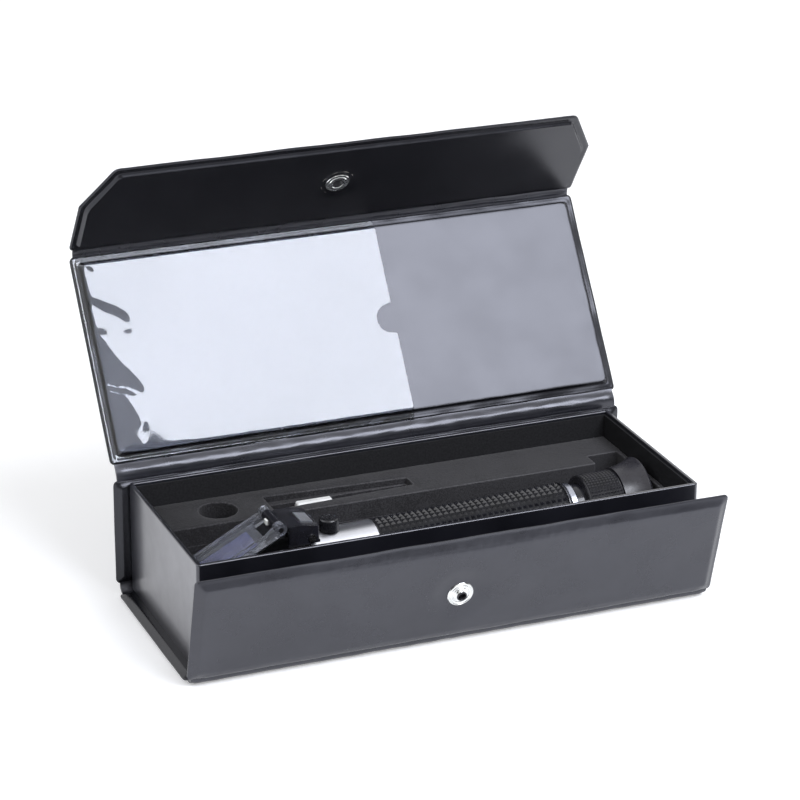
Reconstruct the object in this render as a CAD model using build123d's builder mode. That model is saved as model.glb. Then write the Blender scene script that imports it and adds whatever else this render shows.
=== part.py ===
"""Handheld refractometer lying in its hinged, padded presentation case with the lid open.

The origin is the middle of the base's underside. X runs along the case, Y from the front panel
to the spine and Z up. Lengths are millimetres and angles are degrees.
"""
from build123d import *
import math
import os

os.makedirs("parts", exist_ok=True)

# Welded cover panels
COVER_X = 212.0  # length of each panel
PANEL_T = 3.4  # thickness over the padded pocket
SKIN_T = 0.45  # one sheet of leatherette
WELD_W = 3.5  # flat welded border round a pocket
BOARD_GAP = 0.1  # board to the sheets round it
POCKET_ROUND = 1.0  # soft rim of a pocket
CORNER_R = 2.0  # corners of panels and pockets
FOLD_R = 1.2  # doubled bead of sheet along a fold
FOLD_GAP = 0.4  # bead to the sheet beside it
STRIP_X = 205.0  # length of the fold strips
WEB = 1.8  # bare strip from a fold's sheet edge to the panel

# Tray and its lining
TRAY_X = 201.0
TRAY_Y = 80.0
TRAY_TOP = 47.2
TRAY_WALL = 1.6
TRAY_FLOOR = 2.0
TRAY_CORNER = 1.5
TRAY_ROUND = 0.5  # tray's rim
LINING_T = 0.9
LINING_DROP = 1.2  # lining's top edge below the tray's rim
PANEL_GAP = 0.3  # upright panel to the tray

# Lid, flap and front panel, as they stand in the open case
LID_HINGE_Z = 50.2
LID_WELD = 4.0  # hinge to the lid panel's edge
LID_ANGLE = 34.4  # back from upright
FLAP_REACH = 50.0  # fold to the flap's edge
FLAP_SQUARE = 29.1  # fold to where the corners are cut
FLAP_CUT = 11.2  # how far the cut corners come in
FLAP_ANGLE = -34.9
FRONT_REACH = 47.3
FRONT_ANGLE = -14.8

# Clear pocket film inside the lid
FILM_T = 0.25
FILM_END = 18.5  # X of its open edge
FILM_LIFT = 0.05  # film to the panel under it
NOTCH_R = 6.0  # thumb notch in the open edge
NOTCH_IN = 1.2  # notch centre inside the edge

# Snap fastener
SNAP_X = -1.5
SNAP_Z = 23.8  # height when the case is shut
STUD_D = 10.4
STUD_T = 1.0
STUD_NECK_D = 4.0
STUD_BORE_D = 1.6
STUD_DENT_D = 14.0
STUD_DENT = 0.8
SOCKET_D = 10.0
SOCKET_LIP_D = 7.6  # raised lip round the socket's hole
SOCKET_LIP = 0.35
SOCKET_T = 1.2  # lip included
SOCKET_DENT_D = 12.0
SOCKET_DENT = 0.9
SNAP_GAP = 0.3  # stud disc to socket ring when shut
SNAP_HOLE_GAP = 0.3  # stud neck to the hole round it
CAP_D = 12.0
CAP_T = 0.8
SHANK_D = 3.2
BACK_D = 9.0  # rivet back behind the front panel
BACK_T = 0.6
BACK_ROOM = 0.5  # rivet back to the side of its dent
SEAT_GAP = 0.05  # between pieces that are pressed or laid together
CUT_PAST = 1.0  # how far a cut runs past the face that it opens

# Foam sheets
FOAM_GAP = 0.2
FOAM_TOP = 37.0
FOAM_SEAM = 29.5  # joint between the two upper sheets
FLOOR_Z = 12.0  # what the instrument lies on
CHANNEL_W = 31.0
BAY_X = 83.0  # channel widens for the eyepiece here
BAY_END = 96.0
BAY_W = 47.0
FOAM_CORNER = 1.0
WELL_X = -70.0
WELL_Y = 25.1
WELL_D = 15.0
RECESS_LEFT = -50.0
RECESS_RIGHT = 8.4
RECESS_BACK = 30.8
RECESS_TAPER = 3.0  # narrower at its right end by this at front and back
RECESS_FRONT = 17.8
RECESS_DEEP = 2.6
GROOVE_DEEP = 5.6
GROOVE_W = 5.4

# Small screwdriver
DRIVER_X = -38.5  # handle's left end
DRIVER_Y = 24.8
HANDLE_L = 14.5
HANDLE_D = 4.2
HANDLE_SIDES = 6
HANDLE_BEVEL = 0.5
BLADE_L = 30.0
BLADE_D = 1.6
BLADE_IN = 5.0  # blade inside the handle
TIP_L = 3.0
TIP_T = 0.5

# Refractometer, by distance along its axis from the middle of the case
BODY_Y = -2.2
REST_GAP = 0.2
BARREL_LEFT = -46.0
BARREL_STEP = -17.5
BARREL_RIGHT = 61.5
BARREL_R = 11.1
BARREL_CORE_R = 9.4  # under the grip
BARREL_BORE_R = 8.2
GRIP_R = 11.3
GRIP_ROUND = 0.6
CHROME_LEFT = 62.0
CHROME_RIGHT = 65.2
CHROME_H = 1.1  # how far the chrome ring stands above the tube
TUBE_LEFT = 50.0
TUBE_RIGHT = 89.5
TUBE_R = 9.3
CHROME_R = TUBE_R + CHROME_H
TUBE_BORE_R = 7.3
RING_LEFT = 69.0
RING_RIGHT = 86.5
RING_R = 12.5
RING_NECK_R = 11.0  # eyecup's seat on the ring
RUN_GAP = 0.08  # radial running clearance
CUP_LEFT = 83.8
CUP_RIM = 94.6
CUP_R = 15.5
CUP_NECK_R = 12.9
CUP_MOUTH_R = 13.4
CUP_FLARE = 0.35  # share of the flare that is reached half way along
CELL_LEFT = 74.0
CELL_RIGHT = 87.0
CELL_BORE_R = 5.8
LENS_R = 6.5
LENS_T = 2.4
LENS_CROWN = 0.9
KEEPER_T = 0.9
RETICLE_T = 1.0

# Head with the prism
HEAD_LEFT = -92.0
HEAD_HALF_W = 9.5
HEAD_BOTTOM = -9.2
HEAD_TOP = 11.2
HEAD_STEP = -55.0
HEAD_BORE_R = 6.0
HEAD_ROUND = 2.0  # lower edges
NOSE_PAST = 0.5  # nose beyond the plate's end
NOSE_EDGE = 1.0
SHOULDER_OUT = 2.0  # pin to where the slope starts
SPIGOT_L = 6.0
PIN_ALONG = -57.45
PIN_UP = 19.15
PIN_R = 1.0
PLATE_ANGLE = 25.9  # daylight plate to the axis
PLATE_L = 37.0
PLATE_T = 2.0
PLATE_LOW = -2.2  # plate's underside below the pin's centre
PLATE_HALF_W = 9.5
RIB_TOP = 1.2
RIB_W = 1.8
RIB_BEVEL = 2.0
EAR_R = 2.4
EAR_W = 3.4
EAR_NOTCH = 6.5  # pin to the plate between the ears
EAR_ROOT = 1.0  # ear's reach into the plate
PRISM_GAP = 0.3
PRISM_START = 10.0
PRISM_L = 24.0
PRISM_DEEP = 8.5
PRISM_DRAFT = 4.0
PRISM_HALF_W = 6.5
SEAT_DROP = 0.6  # housing's slope below the plate

# Lamp housing on the head
LAMP_LEFT = -54.5
LAMP_RIGHT = -42.0
LAMP_HALF_W = 9.0
LAMP_H = 7.95  # over its seat
LAMP_SLOPE_START = -48.6
LAMP_DROP = 1.5
LAMP_WALL = 1.0
LAMP_ROUND = 1.2  # upright edges
SOLE_T = 1.0
LUG_R = 2.25
LUG_HALF_W = 5.6
CHIP_H = 1.8
CHIP_W = 2.4
CHIP_PROUD = 0.6  # out of the lug
CHIP_SEAT = 0.8  # chip's back to the pin
COIN_D = 6.8
COIN_T = 2.1
COIN_ALONG = -50.0
COIN_APART = 7.2
CONTACT_T = 0.25
BOARD_T = 0.8
BOARD_ROOM = 0.2  # circuit board to the walls
BUTTON_LEFT = -48.2
BUTTON_L = 4.8
BUTTON_W = 8.4
BUTTON_Y = -1.0
BUTTON_PROUD = 0.4
BUTTON_GAP = 0.15
BUTTON_TRAVEL = 0.7
BUTTON_SPARE = 0.1  # pressed button to the circuit board
FLANGE_T = 0.5
FLANGE_END = 0.3  # flange beyond the button's left end
FLANGE_SIDE = 0.45
SCREW_ALONG = -45.0
SCREW_RISE = 2.15  # side screws over the lamp's seat
SCREW_HEAD_D = 3.0
SCREW_HEAD_T = 0.5
SCREW_D = 1.5
TAB_L = 2.8
TAB_T = 1.6

# Calibration screw and objective
CAL_ALONG = -35.0
CAL_BUSH_R = 2.45
CAL_BUSH_LOW = 8.1
CAL_BUSH_TOP = 12.6
CAL_SCREW_R = 1.1
CAL_SCREW_DROP = 0.3  # screw's top below the bush's
CAL_SLOT_DEEP = 0.5
CAL_CAP_R = 3.8
CAL_CAP_TOP = 16.2
CAL_CAP_ROUND = 1.1
OBJ_L = 7.0
OBJ_R = 7.6
OBJ_LENS_R = 5.6
OBJ_LENS_T = 3.0
STRIP_L = 23.0
STRIP_W = 3.6
STRIP_T = 0.4
STRIP_GAP = 1.0  # strip to the objective's cell


def sine(angle):
    return math.sin(math.radians(angle))


def cosine(angle):
    return math.cos(math.radians(angle))


# Places worked out from the sizes above
HALF_T = PANEL_T / 2
FRONT_Y = -(TRAY_Y / 2 + PANEL_GAP + HALF_T)
SPINE_Y = -FRONT_Y
SHEET_NEAR = FOLD_R + FOLD_GAP
BASE_REACH = SPINE_Y - FRONT_Y
SPINE_REACH = LID_HINGE_Z - HALF_T
STUD_SEAT = HALF_T - STUD_DENT
STUD_FACE = STUD_SEAT + STUD_T
SOCKET_SEAT = HALF_T - SOCKET_DENT
SOCKET_FACE = SOCKET_SEAT + SOCKET_T
FLAP_STANDOFF = STUD_FACE + SNAP_GAP + SOCKET_FACE  # flap's middle to the front panel's, when shut
LID_REACH = BASE_REACH + FLAP_STANDOFF  # hinge to flap fold
FLAP_FOLD_Y = SPINE_Y + LID_REACH * sine(LID_ANGLE)
FLAP_FOLD_Z = LID_HINGE_Z + LID_REACH * cosine(LID_ANGLE)
STUD_UP = SNAP_Z - HALF_T
SOCKET_UP = LID_HINGE_Z - SNAP_Z
INNER_X = TRAY_X - 2 * (TRAY_WALL + LINING_T)
INNER_Y = TRAY_Y - 2 * (TRAY_WALL + LINING_T)
FOAM_X = INNER_X - 2 * FOAM_GAP
FOAM_Y = INNER_Y - 2 * FOAM_GAP
SOLE_LOW = max(HEAD_TOP, BARREL_R) + SEAT_GAP  # lamp lies on the head and the barrel
LAMP_TOP = SOLE_LOW + LAMP_H
SCREW_UP = SOLE_LOW + SCREW_RISE
TRAY_FLOOR_Z = PANEL_T + TRAY_FLOOR

# The instrument lies on its eyecup and the left end of its barrel, so its axis rises to the right
TILT = math.degrees(math.asin((CUP_R - BARREL_R) / (CUP_RIM - BARREL_LEFT)))
AXIS_Z = FLOOR_Z + REST_GAP + CUP_R - CUP_RIM * sine(TILT)
ALONG = (cosine(TILT), 0, sine(TILT))
UPWARD = (-sine(TILT), 0, cosine(TILT))


def fold_plane(y, z, lean):
    """Plane of a panel that rises from the fold at (y, z), leaning back from upright."""
    return Plane(origin=(0, y, z), x_dir=(1, 0, 0), z_dir=(0, -cosine(lean), sine(lean)))


def on_body(along, up=0.0, back=0.0):
    """Point at a distance along the instrument's axis, above it and behind it."""
    return Vector(
        along * ALONG[0] + up * UPWARD[0],
        BODY_Y + back,
        AXIS_Z + along * ALONG[2] + up * UPWARD[2],
    )


def across(along):
    """Plane square to the instrument's axis, with its X to the back and its Y up."""
    return Plane(origin=on_body(along), x_dir=(0, 1, 0), z_dir=ALONG)


def level(up):
    """Plane along the instrument's axis and square to its upward line."""
    return Plane(origin=on_body(0, up), x_dir=ALONG, z_dir=UPWARD)


LENGTHWISE = Plane(origin=on_body(0), x_dir=ALONG, z_dir=(0, -1, 0))
OPTIC_AXIS = Axis(on_body(0), ALONG)

BASE_PLANE = fold_plane(FRONT_Y, HALF_T, 90)
SPINE_PLANE = fold_plane(SPINE_Y, HALF_T, 0)
LID_PLANE = fold_plane(SPINE_Y, LID_HINGE_Z, LID_ANGLE)
FLAP_PLANE = fold_plane(FLAP_FOLD_Y, FLAP_FOLD_Z, FLAP_ANGLE)
FRONT_PLANE = fold_plane(FRONT_Y, HALF_T, FRONT_ANGLE)


def save(piece, name):
    piece.part.label = name
    export_step(piece.part, f"parts/{name}.step")


def panel_points(start, end, square=None):
    """Corners of a panel, whose far corners are cut from the distance named square."""
    half = COVER_X / 2
    if square is None:
        return [(-half, start), (half, start), (half, end), (-half, end)]
    inner = half - FLAP_CUT
    return [
        (-half, start),
        (half, start),
        (half, square),
        (inner, end),
        (-inner, end),
        (-half, square),
    ]


def panel_sketch(plane, points, inset):
    """The panel's outline on its plane, drawn in by an inset, with round corners."""
    with BuildSketch(plane) as sketch:
        with BuildLine():
            Polyline(*points, close=True)
        make_face()
        if inset > 0:
            offset(amount=-inset, kind=Kind.INTERSECTION, mode=Mode.REPLACE)
        fillet(sketch.vertices(), radius=CORNER_R)
    return sketch.sketch


def sheet(name, plane, side, points, webs, dents=(), holes=()):
    """One sheet of a panel: a flat border and half of the pocket, on one side of the plane."""
    normal = Axis(plane.origin, plane.z_dir)
    with BuildPart() as skin:
        extrude(panel_sketch(plane, points, 0), amount=side * SKIN_T)
        for web_start, web_end in webs:
            with BuildSketch(plane):
                with Locations((0, (web_start + web_end) / 2)):
                    Rectangle(STRIP_X, web_end - web_start)
            extrude(amount=side * SKIN_T)
        extrude(panel_sketch(plane, points, WELD_W), amount=side * HALF_T)
        crown = skin.faces().sort_by(normal)[-1 if side > 0 else 0]
        fillet(crown.edges(), radius=POCKET_ROUND)
        extrude(
            panel_sketch(plane, points, WELD_W + SKIN_T),
            amount=side * (HALF_T - SKIN_T),
            mode=Mode.SUBTRACT,
        )
        for along, up, diameter, depth in dents:
            with BuildSketch(plane.offset(side * (HALF_T - depth - SKIN_T))):
                with Locations((along, up)):
                    Circle(diameter / 2 + SKIN_T)
            extrude(amount=side * (depth + SKIN_T / 2))
            with BuildSketch(plane.offset(side * (HALF_T - depth))):
                with Locations((along, up)):
                    Circle(diameter / 2)
            extrude(amount=side * depth, mode=Mode.SUBTRACT)
        for along, up, diameter in holes:
            with BuildSketch(plane):
                with Locations((along, up)):
                    Circle(diameter / 2)
            extrude(amount=side * PANEL_T, mode=Mode.SUBTRACT)
    save(skin, name)


def board(name, plane, points, hollows=(), holes=()):
    """Stiff board inside a panel's pocket, hollowed where a dent of the sheet reaches in."""
    half = HALF_T - SKIN_T - BOARD_GAP
    with BuildPart() as core:
        extrude(panel_sketch(plane, points, WELD_W + SKIN_T + BOARD_GAP), amount=half, both=True)
        for side, along, up, diameter, depth in hollows:
            with BuildSketch(plane.offset(side * (HALF_T - depth - SKIN_T - BOARD_GAP))):
                with Locations((along, up)):
                    Circle(diameter / 2 + SKIN_T + BOARD_GAP)
            extrude(amount=side * PANEL_T, mode=Mode.SUBTRACT)
        for along, up, diameter in holes:
            with BuildSketch(plane):
                with Locations((along, up)):
                    Circle(diameter / 2)
            extrude(amount=PANEL_T, both=True, mode=Mode.SUBTRACT)
    save(core, name)


def fold_strip(name, y, z):
    """Doubled bead of sheet along a fold."""
    with BuildPart() as strip:
        with BuildSketch(Plane(origin=(-STRIP_X / 2, y, z), z_dir=(1, 0, 0))):
            Circle(FOLD_R)
        extrude(amount=STRIP_X)
    save(strip, name)


def disc_stack(name, plane, along, up, rings):
    """Round metal piece on a panel, from (start, end, outer, inner) heights and diameters."""
    with BuildPart() as stack:
        for start, end, outer, inner in rings:
            with BuildSketch(plane.offset(min(start, end))):
                with Locations((along, up)):
                    Circle(outer / 2)
                    if inner > 0:
                        Circle(inner / 2, mode=Mode.SUBTRACT)
            extrude(amount=abs(end - start))
    save(stack, name)


def turned(points):
    """Round solid about the instrument's axis, from the (along, radius) points of its half."""
    with BuildSketch(LENGTHWISE) as half:
        with BuildLine():
            Polyline(*points, close=True)
        make_face()
    revolve(half.sketch, axis=OPTIC_AXIS)


def lens(name, left, thickness, radius, crown):
    """Lens about the instrument's axis: flat on its left and domed on its right."""
    edge = left + thickness - crown
    sphere = (radius**2 + crown**2) / (2 * crown)
    half_drop = sphere - math.sqrt(sphere**2 - radius**2 / 4)
    with BuildPart() as glass:
        with BuildSketch(LENGTHWISE):
            with BuildLine():
                Polyline((left + thickness, 0), (left, 0), (left, radius), (edge, radius))
                ThreePointArc(
                    (edge, radius),
                    (left + thickness - half_drop, radius / 2),
                    (left + thickness, 0),
                )
            make_face()
        revolve(axis=OPTIC_AXIS)
    save(glass, name)


# Base and spine of the cover
base_points = panel_points(SHEET_NEAR + WEB, BASE_REACH - SHEET_NEAR - WEB)
base_webs = [
    (SHEET_NEAR, SHEET_NEAR + WEB),
    (BASE_REACH - SHEET_NEAR - WEB, BASE_REACH - SHEET_NEAR),
]
sheet("base_lining", BASE_PLANE, 1, base_points, base_webs)
sheet("base_outer_skin", BASE_PLANE, -1, base_points, base_webs)
board("base_board", BASE_PLANE, base_points)

spine_points = panel_points(SHEET_NEAR + WEB, SPINE_REACH - SHEET_NEAR - WEB / 2)
spine_webs = [
    (SHEET_NEAR, SHEET_NEAR + WEB),
    (SPINE_REACH - SHEET_NEAR - WEB / 2, SPINE_REACH - SHEET_NEAR),
]
sheet("spine_lining", SPINE_PLANE, 1, spine_points, spine_webs)
sheet("spine_outer_skin", SPINE_PLANE, -1, spine_points, spine_webs)
board("spine_board", SPINE_PLANE, spine_points)

# Lid
lid_points = panel_points(LID_WELD, LID_REACH - SHEET_NEAR)
lid_webs = [(SHEET_NEAR, LID_WELD)]
sheet("lid_lining", LID_PLANE, 1, lid_points, lid_webs)
sheet("lid_outer_skin", LID_PLANE, -1, lid_points, lid_webs)
board("lid_board", LID_PLANE, lid_points)

# Flap, with a dent and a hole for the snap socket
flap_points = panel_points(SHEET_NEAR, FLAP_REACH, FLAP_SQUARE)
socket_hole = STUD_NECK_D + 2 * SNAP_HOLE_GAP
sheet(
    "flap_lining",
    FLAP_PLANE,
    1,
    flap_points,
    [],
    dents=[(SNAP_X, SOCKET_UP, SOCKET_DENT_D, SOCKET_DENT)],
    holes=[(SNAP_X, SOCKET_UP, socket_hole)],
)
sheet(
    "flap_outer_skin",
    FLAP_PLANE,
    -1,
    flap_points,
    [],
    holes=[(SNAP_X, SOCKET_UP, SHANK_D + 2 * SEAT_GAP)],
)
board(
    "flap_board",
    FLAP_PLANE,
    flap_points,
    hollows=[(1, SNAP_X, SOCKET_UP, SOCKET_DENT_D, SOCKET_DENT)],
    holes=[(SNAP_X, SOCKET_UP, socket_hole)],
)

# Front panel, dented round the stud and behind it
front_points = panel_points(SHEET_NEAR, FRONT_REACH)
shank_hole = SHANK_D + 2 * SEAT_GAP
back_dent_d = BACK_D + 2 * BACK_ROOM
sheet(
    "front_outer_skin",
    FRONT_PLANE,
    1,
    front_points,
    [],
    dents=[(SNAP_X, STUD_UP, STUD_DENT_D, STUD_DENT)],
    holes=[(SNAP_X, STUD_UP, shank_hole)],
)
sheet(
    "front_lining",
    FRONT_PLANE,
    -1,
    front_points,
    [],
    dents=[(SNAP_X, STUD_UP, back_dent_d, BACK_T)],
    holes=[(SNAP_X, STUD_UP, shank_hole)],
)
board(
    "front_board",
    FRONT_PLANE,
    front_points,
    hollows=[
        (1, SNAP_X, STUD_UP, STUD_DENT_D, STUD_DENT),
        (-1, SNAP_X, STUD_UP, back_dent_d, BACK_T),
    ],
    holes=[(SNAP_X, STUD_UP, shank_hole)],
)

# Fold strips
fold_strip("front_hinge_strip", FRONT_Y, HALF_T)
fold_strip("spine_fold_strip", SPINE_Y, HALF_T)
fold_strip("lid_hinge_strip", SPINE_Y, LID_HINGE_Z)
fold_strip("flap_hinge_strip", FLAP_FOLD_Y, FLAP_FOLD_Z)

# Snap: stud and rivet back on the front panel, socket and cap on the flap
neck_top = FLAP_STANDOFF - SOCKET_SEAT + SKIN_T - SNAP_GAP
disc_stack(
    "snap_stud",
    FRONT_PLANE,
    SNAP_X,
    STUD_UP,
    [
        (STUD_SEAT, STUD_FACE, STUD_D, 0),
        (STUD_FACE, neck_top, STUD_NECK_D, STUD_BORE_D),
    ],
)
disc_stack(
    "snap_rivet_back",
    FRONT_PLANE,
    SNAP_X,
    STUD_UP,
    [
        (-HALF_T, BACK_T - HALF_T, BACK_D, 0),
        (BACK_T - HALF_T, STUD_SEAT, SHANK_D, 0),
    ],
)
disc_stack(
    "snap_socket",
    FLAP_PLANE,
    SNAP_X,
    SOCKET_UP,
    [
        (SOCKET_SEAT, SOCKET_FACE - SOCKET_LIP, SOCKET_D, socket_hole),
        (SOCKET_FACE - SOCKET_LIP, SOCKET_FACE, SOCKET_LIP_D, socket_hole),
    ],
)
cap_clear = FLAP_STANDOFF - neck_top - SNAP_GAP
disc_stack(
    "snap_cap",
    FLAP_PLANE,
    SNAP_X,
    SOCKET_UP,
    [
        (-HALF_T - CAP_T, -HALF_T, CAP_D, 0),
        (-HALF_T, cap_clear, SHANK_D, 0),
    ],
)

# Clear film welded over the left of the lid on three sides, with a thumb notch in its open edge
film_left = -COVER_X / 2
film_low = LID_WELD
film_high = LID_REACH - SHEET_NEAR
bubble_in = WELD_W - FILM_T - FILM_LIFT
film_middle = (film_low + film_high) / 2
with BuildPart() as pocket_film:
    with BuildSketch(LID_PLANE.offset(SKIN_T)):
        with BuildLine():
            Polyline(
                (film_left, film_low),
                (FILM_END, film_low),
                (FILM_END, film_high),
                (film_left, film_high),
                close=True,
            )
        make_face()
    extrude(amount=FILM_T)
    with BuildSketch(LID_PLANE.offset(SKIN_T)):
        with BuildLine():
            Polyline(
                (film_left + bubble_in, film_low + bubble_in),
                (FILM_END, film_low + bubble_in),
                (FILM_END, film_high - bubble_in),
                (film_left + bubble_in, film_high - bubble_in),
                close=True,
            )
        make_face()
    extrude(amount=HALF_T - SKIN_T + FILM_LIFT + FILM_T)
    hollow_in = bubble_in + FILM_T
    with BuildSketch(LID_PLANE.offset(SKIN_T)):
        with BuildLine():
            Polyline(
                (film_left + hollow_in, film_low + hollow_in),
                (FILM_END + CUT_PAST, film_low + hollow_in),
                (FILM_END + CUT_PAST, film_high - hollow_in),
                (film_left + hollow_in, film_high - hollow_in),
                close=True,
            )
        make_face()
    extrude(amount=HALF_T - SKIN_T + FILM_LIFT, mode=Mode.SUBTRACT)
    with BuildSketch(LID_PLANE):
        with Locations((FILM_END - NOTCH_IN, film_middle)):
            Circle(NOTCH_R)
    extrude(amount=PANEL_T, mode=Mode.SUBTRACT)
save(pocket_film, "pocket_film")

# Tray and lining
with BuildPart() as tray_box:
    with BuildSketch(Plane.XY.offset(PANEL_T)):
        RectangleRounded(TRAY_X, TRAY_Y, TRAY_CORNER)
    extrude(amount=TRAY_TOP - PANEL_T)
    with BuildSketch(Plane.XY.offset(TRAY_FLOOR_Z)):
        Rectangle(TRAY_X - 2 * TRAY_WALL, TRAY_Y - 2 * TRAY_WALL)
    extrude(amount=TRAY_TOP, mode=Mode.SUBTRACT)
    rim = tray_box.faces().sort_by(Axis.Z)[-1]
    fillet(rim.edges(), radius=min(TRAY_ROUND, TRAY_WALL / 3))
save(tray_box, "tray_box")

with BuildPart() as tray_lining:
    with BuildSketch(Plane.XY.offset(TRAY_FLOOR_Z)):
        Rectangle(INNER_X + 2 * LINING_T, INNER_Y + 2 * LINING_T)
        Rectangle(INNER_X, INNER_Y, mode=Mode.SUBTRACT)
    extrude(amount=TRAY_TOP - LINING_DROP - TRAY_FLOOR_Z)
save(tray_lining, "tray_lining")


def foam_cuts(height):
    """Openings through a foam sheet: the channel, the eyepiece bay and the round well."""
    with BuildSketch(Plane.XY.offset(height)) as cuts:
        with Locations(((BAY_X - FOAM_X) / 2, BODY_Y)):
            Rectangle(BAY_X + FOAM_X, CHANNEL_W)
        with Locations(((BAY_X + BAY_END) / 2, BODY_Y)):
            Rectangle(BAY_END - BAY_X, BAY_W)
        fillet(cuts.vertices().group_by(Axis.X)[1:], radius=FOAM_CORNER)
        with Locations((WELL_X, WELL_Y)):
            Circle(WELL_D / 2)
    return cuts.sketch


with BuildPart() as foam_base_sheet:
    with BuildSketch(Plane.XY.offset(TRAY_FLOOR_Z)):
        Rectangle(FOAM_X, FOAM_Y)
    extrude(amount=FLOOR_Z - TRAY_FLOOR_Z)
save(foam_base_sheet, "foam_base_sheet")

with BuildPart() as foam_middle_sheet:
    with BuildSketch(Plane.XY.offset(FLOOR_Z)):
        Rectangle(FOAM_X, FOAM_Y)
    extrude(amount=FOAM_SEAM - FLOOR_Z)
    extrude(foam_cuts(FLOOR_Z), amount=FOAM_SEAM - FLOOR_Z, mode=Mode.SUBTRACT)
save(foam_middle_sheet, "foam_middle_sheet")

with BuildPart() as foam_top_sheet:
    with BuildSketch(Plane.XY.offset(FOAM_SEAM)):
        Rectangle(FOAM_X, FOAM_Y)
    extrude(amount=FOAM_TOP - FOAM_SEAM)
    extrude(foam_cuts(FOAM_SEAM), amount=FOAM_TOP - FOAM_SEAM, mode=Mode.SUBTRACT)
    with BuildSketch(Plane.XY.offset(FOAM_TOP - RECESS_DEEP)):
        with BuildLine():
            Polyline(
                (RECESS_LEFT, RECESS_FRONT),
                (RECESS_RIGHT, RECESS_FRONT + RECESS_TAPER),
                (RECESS_RIGHT, RECESS_BACK - RECESS_TAPER),
                (RECESS_LEFT, RECESS_BACK),
                close=True,
            )
        make_face()
    extrude(amount=RECESS_DEEP, mode=Mode.SUBTRACT)
    with BuildSketch(Plane.XY.offset(FOAM_TOP - GROOVE_DEEP)):
        with Locations(((RECESS_LEFT + RECESS_RIGHT) / 2, DRIVER_Y)):
            Rectangle(RECESS_RIGHT - RECESS_LEFT, GROOVE_W)
    extrude(amount=GROOVE_DEEP, mode=Mode.SUBTRACT)
save(foam_top_sheet, "foam_top_sheet")

# Screwdriver in its groove
driver_z = FOAM_TOP - GROOVE_DEEP + REST_GAP + HANDLE_D / 2 * cosine(180 / HANDLE_SIDES)
with BuildPart() as screwdriver_handle:
    with BuildSketch(Plane(origin=(DRIVER_X, DRIVER_Y, driver_z), x_dir=(0, 1, 0), z_dir=(1, 0, 0))):
        RegularPolygon(radius=HANDLE_D / 2, side_count=HANDLE_SIDES)
    extrude(amount=HANDLE_L)
    ends = screwdriver_handle.faces().group_by(Axis.X)
    chamfer(ends[0].edges() + ends[-1].edges(), length=HANDLE_BEVEL)
    with BuildSketch(Plane(origin=(DRIVER_X + HANDLE_L, DRIVER_Y, driver_z), z_dir=(-1, 0, 0))):
        Circle(BLADE_D / 2)
    extrude(amount=BLADE_IN, mode=Mode.SUBTRACT)
save(screwdriver_handle, "screwdriver_handle")

blade_left = DRIVER_X + HANDLE_L - BLADE_IN
with BuildPart() as screwdriver_blade:
    with BuildSketch(Plane(origin=(blade_left, DRIVER_Y, driver_z), z_dir=(1, 0, 0))):
        Circle(BLADE_D / 2)
    extrude(amount=BLADE_L + BLADE_IN)
    tip_middle = blade_left + BLADE_IN + BLADE_L - TIP_L / 2
    side_cut = (BLADE_D - TIP_T) / 2
    for side in (-1, 1):
        with Locations((tip_middle, DRIVER_Y, driver_z + side * (TIP_T + side_cut) / 2)):
            Box(TIP_L, BLADE_D, side_cut, mode=Mode.SUBTRACT)
save(screwdriver_blade, "screwdriver_blade")

# Barrel, bored across for the calibration bush
with BuildPart() as barrel:
    turned(
        [
            (BARREL_LEFT, BARREL_BORE_R),
            (BARREL_LEFT, BARREL_R),
            (BARREL_STEP, BARREL_R),
            (BARREL_STEP, BARREL_CORE_R),
            (BARREL_RIGHT, BARREL_CORE_R),
            (BARREL_RIGHT, BARREL_BORE_R),
        ]
    )
    with BuildSketch(level(0)):
        with Locations((CAL_ALONG, 0)):
            Circle(CAL_BUSH_R + SEAT_GAP)
    extrude(amount=2 * BARREL_R, mode=Mode.SUBTRACT)
save(barrel, "barrel")

grip_left = BARREL_STEP + SEAT_GAP
grip_inner = BARREL_CORE_R + SEAT_GAP
with BuildPart() as grip:
    turned(
        [
            (grip_left, grip_inner),
            (grip_left, GRIP_R - GRIP_ROUND),
            (grip_left + GRIP_ROUND, GRIP_R),
            (BARREL_RIGHT - GRIP_ROUND, GRIP_R),
            (BARREL_RIGHT, GRIP_R - GRIP_ROUND),
            (BARREL_RIGHT, grip_inner),
        ]
    )
save(grip, "grip_sleeve")

chrome_inner = TUBE_R + SEAT_GAP
with BuildPart() as chrome_ring:
    turned(
        [
            (CHROME_LEFT, chrome_inner),
            (CHROME_LEFT, CHROME_R - GRIP_ROUND),
            (CHROME_LEFT + GRIP_ROUND, CHROME_R),
            (CHROME_RIGHT - GRIP_ROUND, CHROME_R),
            (CHROME_RIGHT, CHROME_R - GRIP_ROUND),
            (CHROME_RIGHT, chrome_inner),
        ]
    )
save(chrome_ring, "chrome_ring")

tube_shoulder = BARREL_RIGHT + SEAT_GAP
with BuildPart() as eyepiece_tube:
    turned(
        [
            (TUBE_LEFT, TUBE_BORE_R),
            (TUBE_LEFT, BARREL_BORE_R - SEAT_GAP),
            (tube_shoulder, BARREL_BORE_R - SEAT_GAP),
            (tube_shoulder, TUBE_R),
            (TUBE_RIGHT, TUBE_R),
            (TUBE_RIGHT, TUBE_BORE_R),
        ]
    )
save(eyepiece_tube, "eyepiece_tube")

ring_bore = TUBE_R + RUN_GAP
with BuildPart() as diopter_ring:
    turned(
        [
            (RING_LEFT, ring_bore),
            (RING_LEFT, RING_R - GRIP_ROUND),
            (RING_LEFT + GRIP_ROUND, RING_R),
            (CUP_LEFT - SEAT_GAP, RING_R),
            (CUP_LEFT - SEAT_GAP, RING_NECK_R),
            (RING_RIGHT, RING_NECK_R),
            (RING_RIGHT, ring_bore),
        ]
    )
save(diopter_ring, "diopter_ring")

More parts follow.
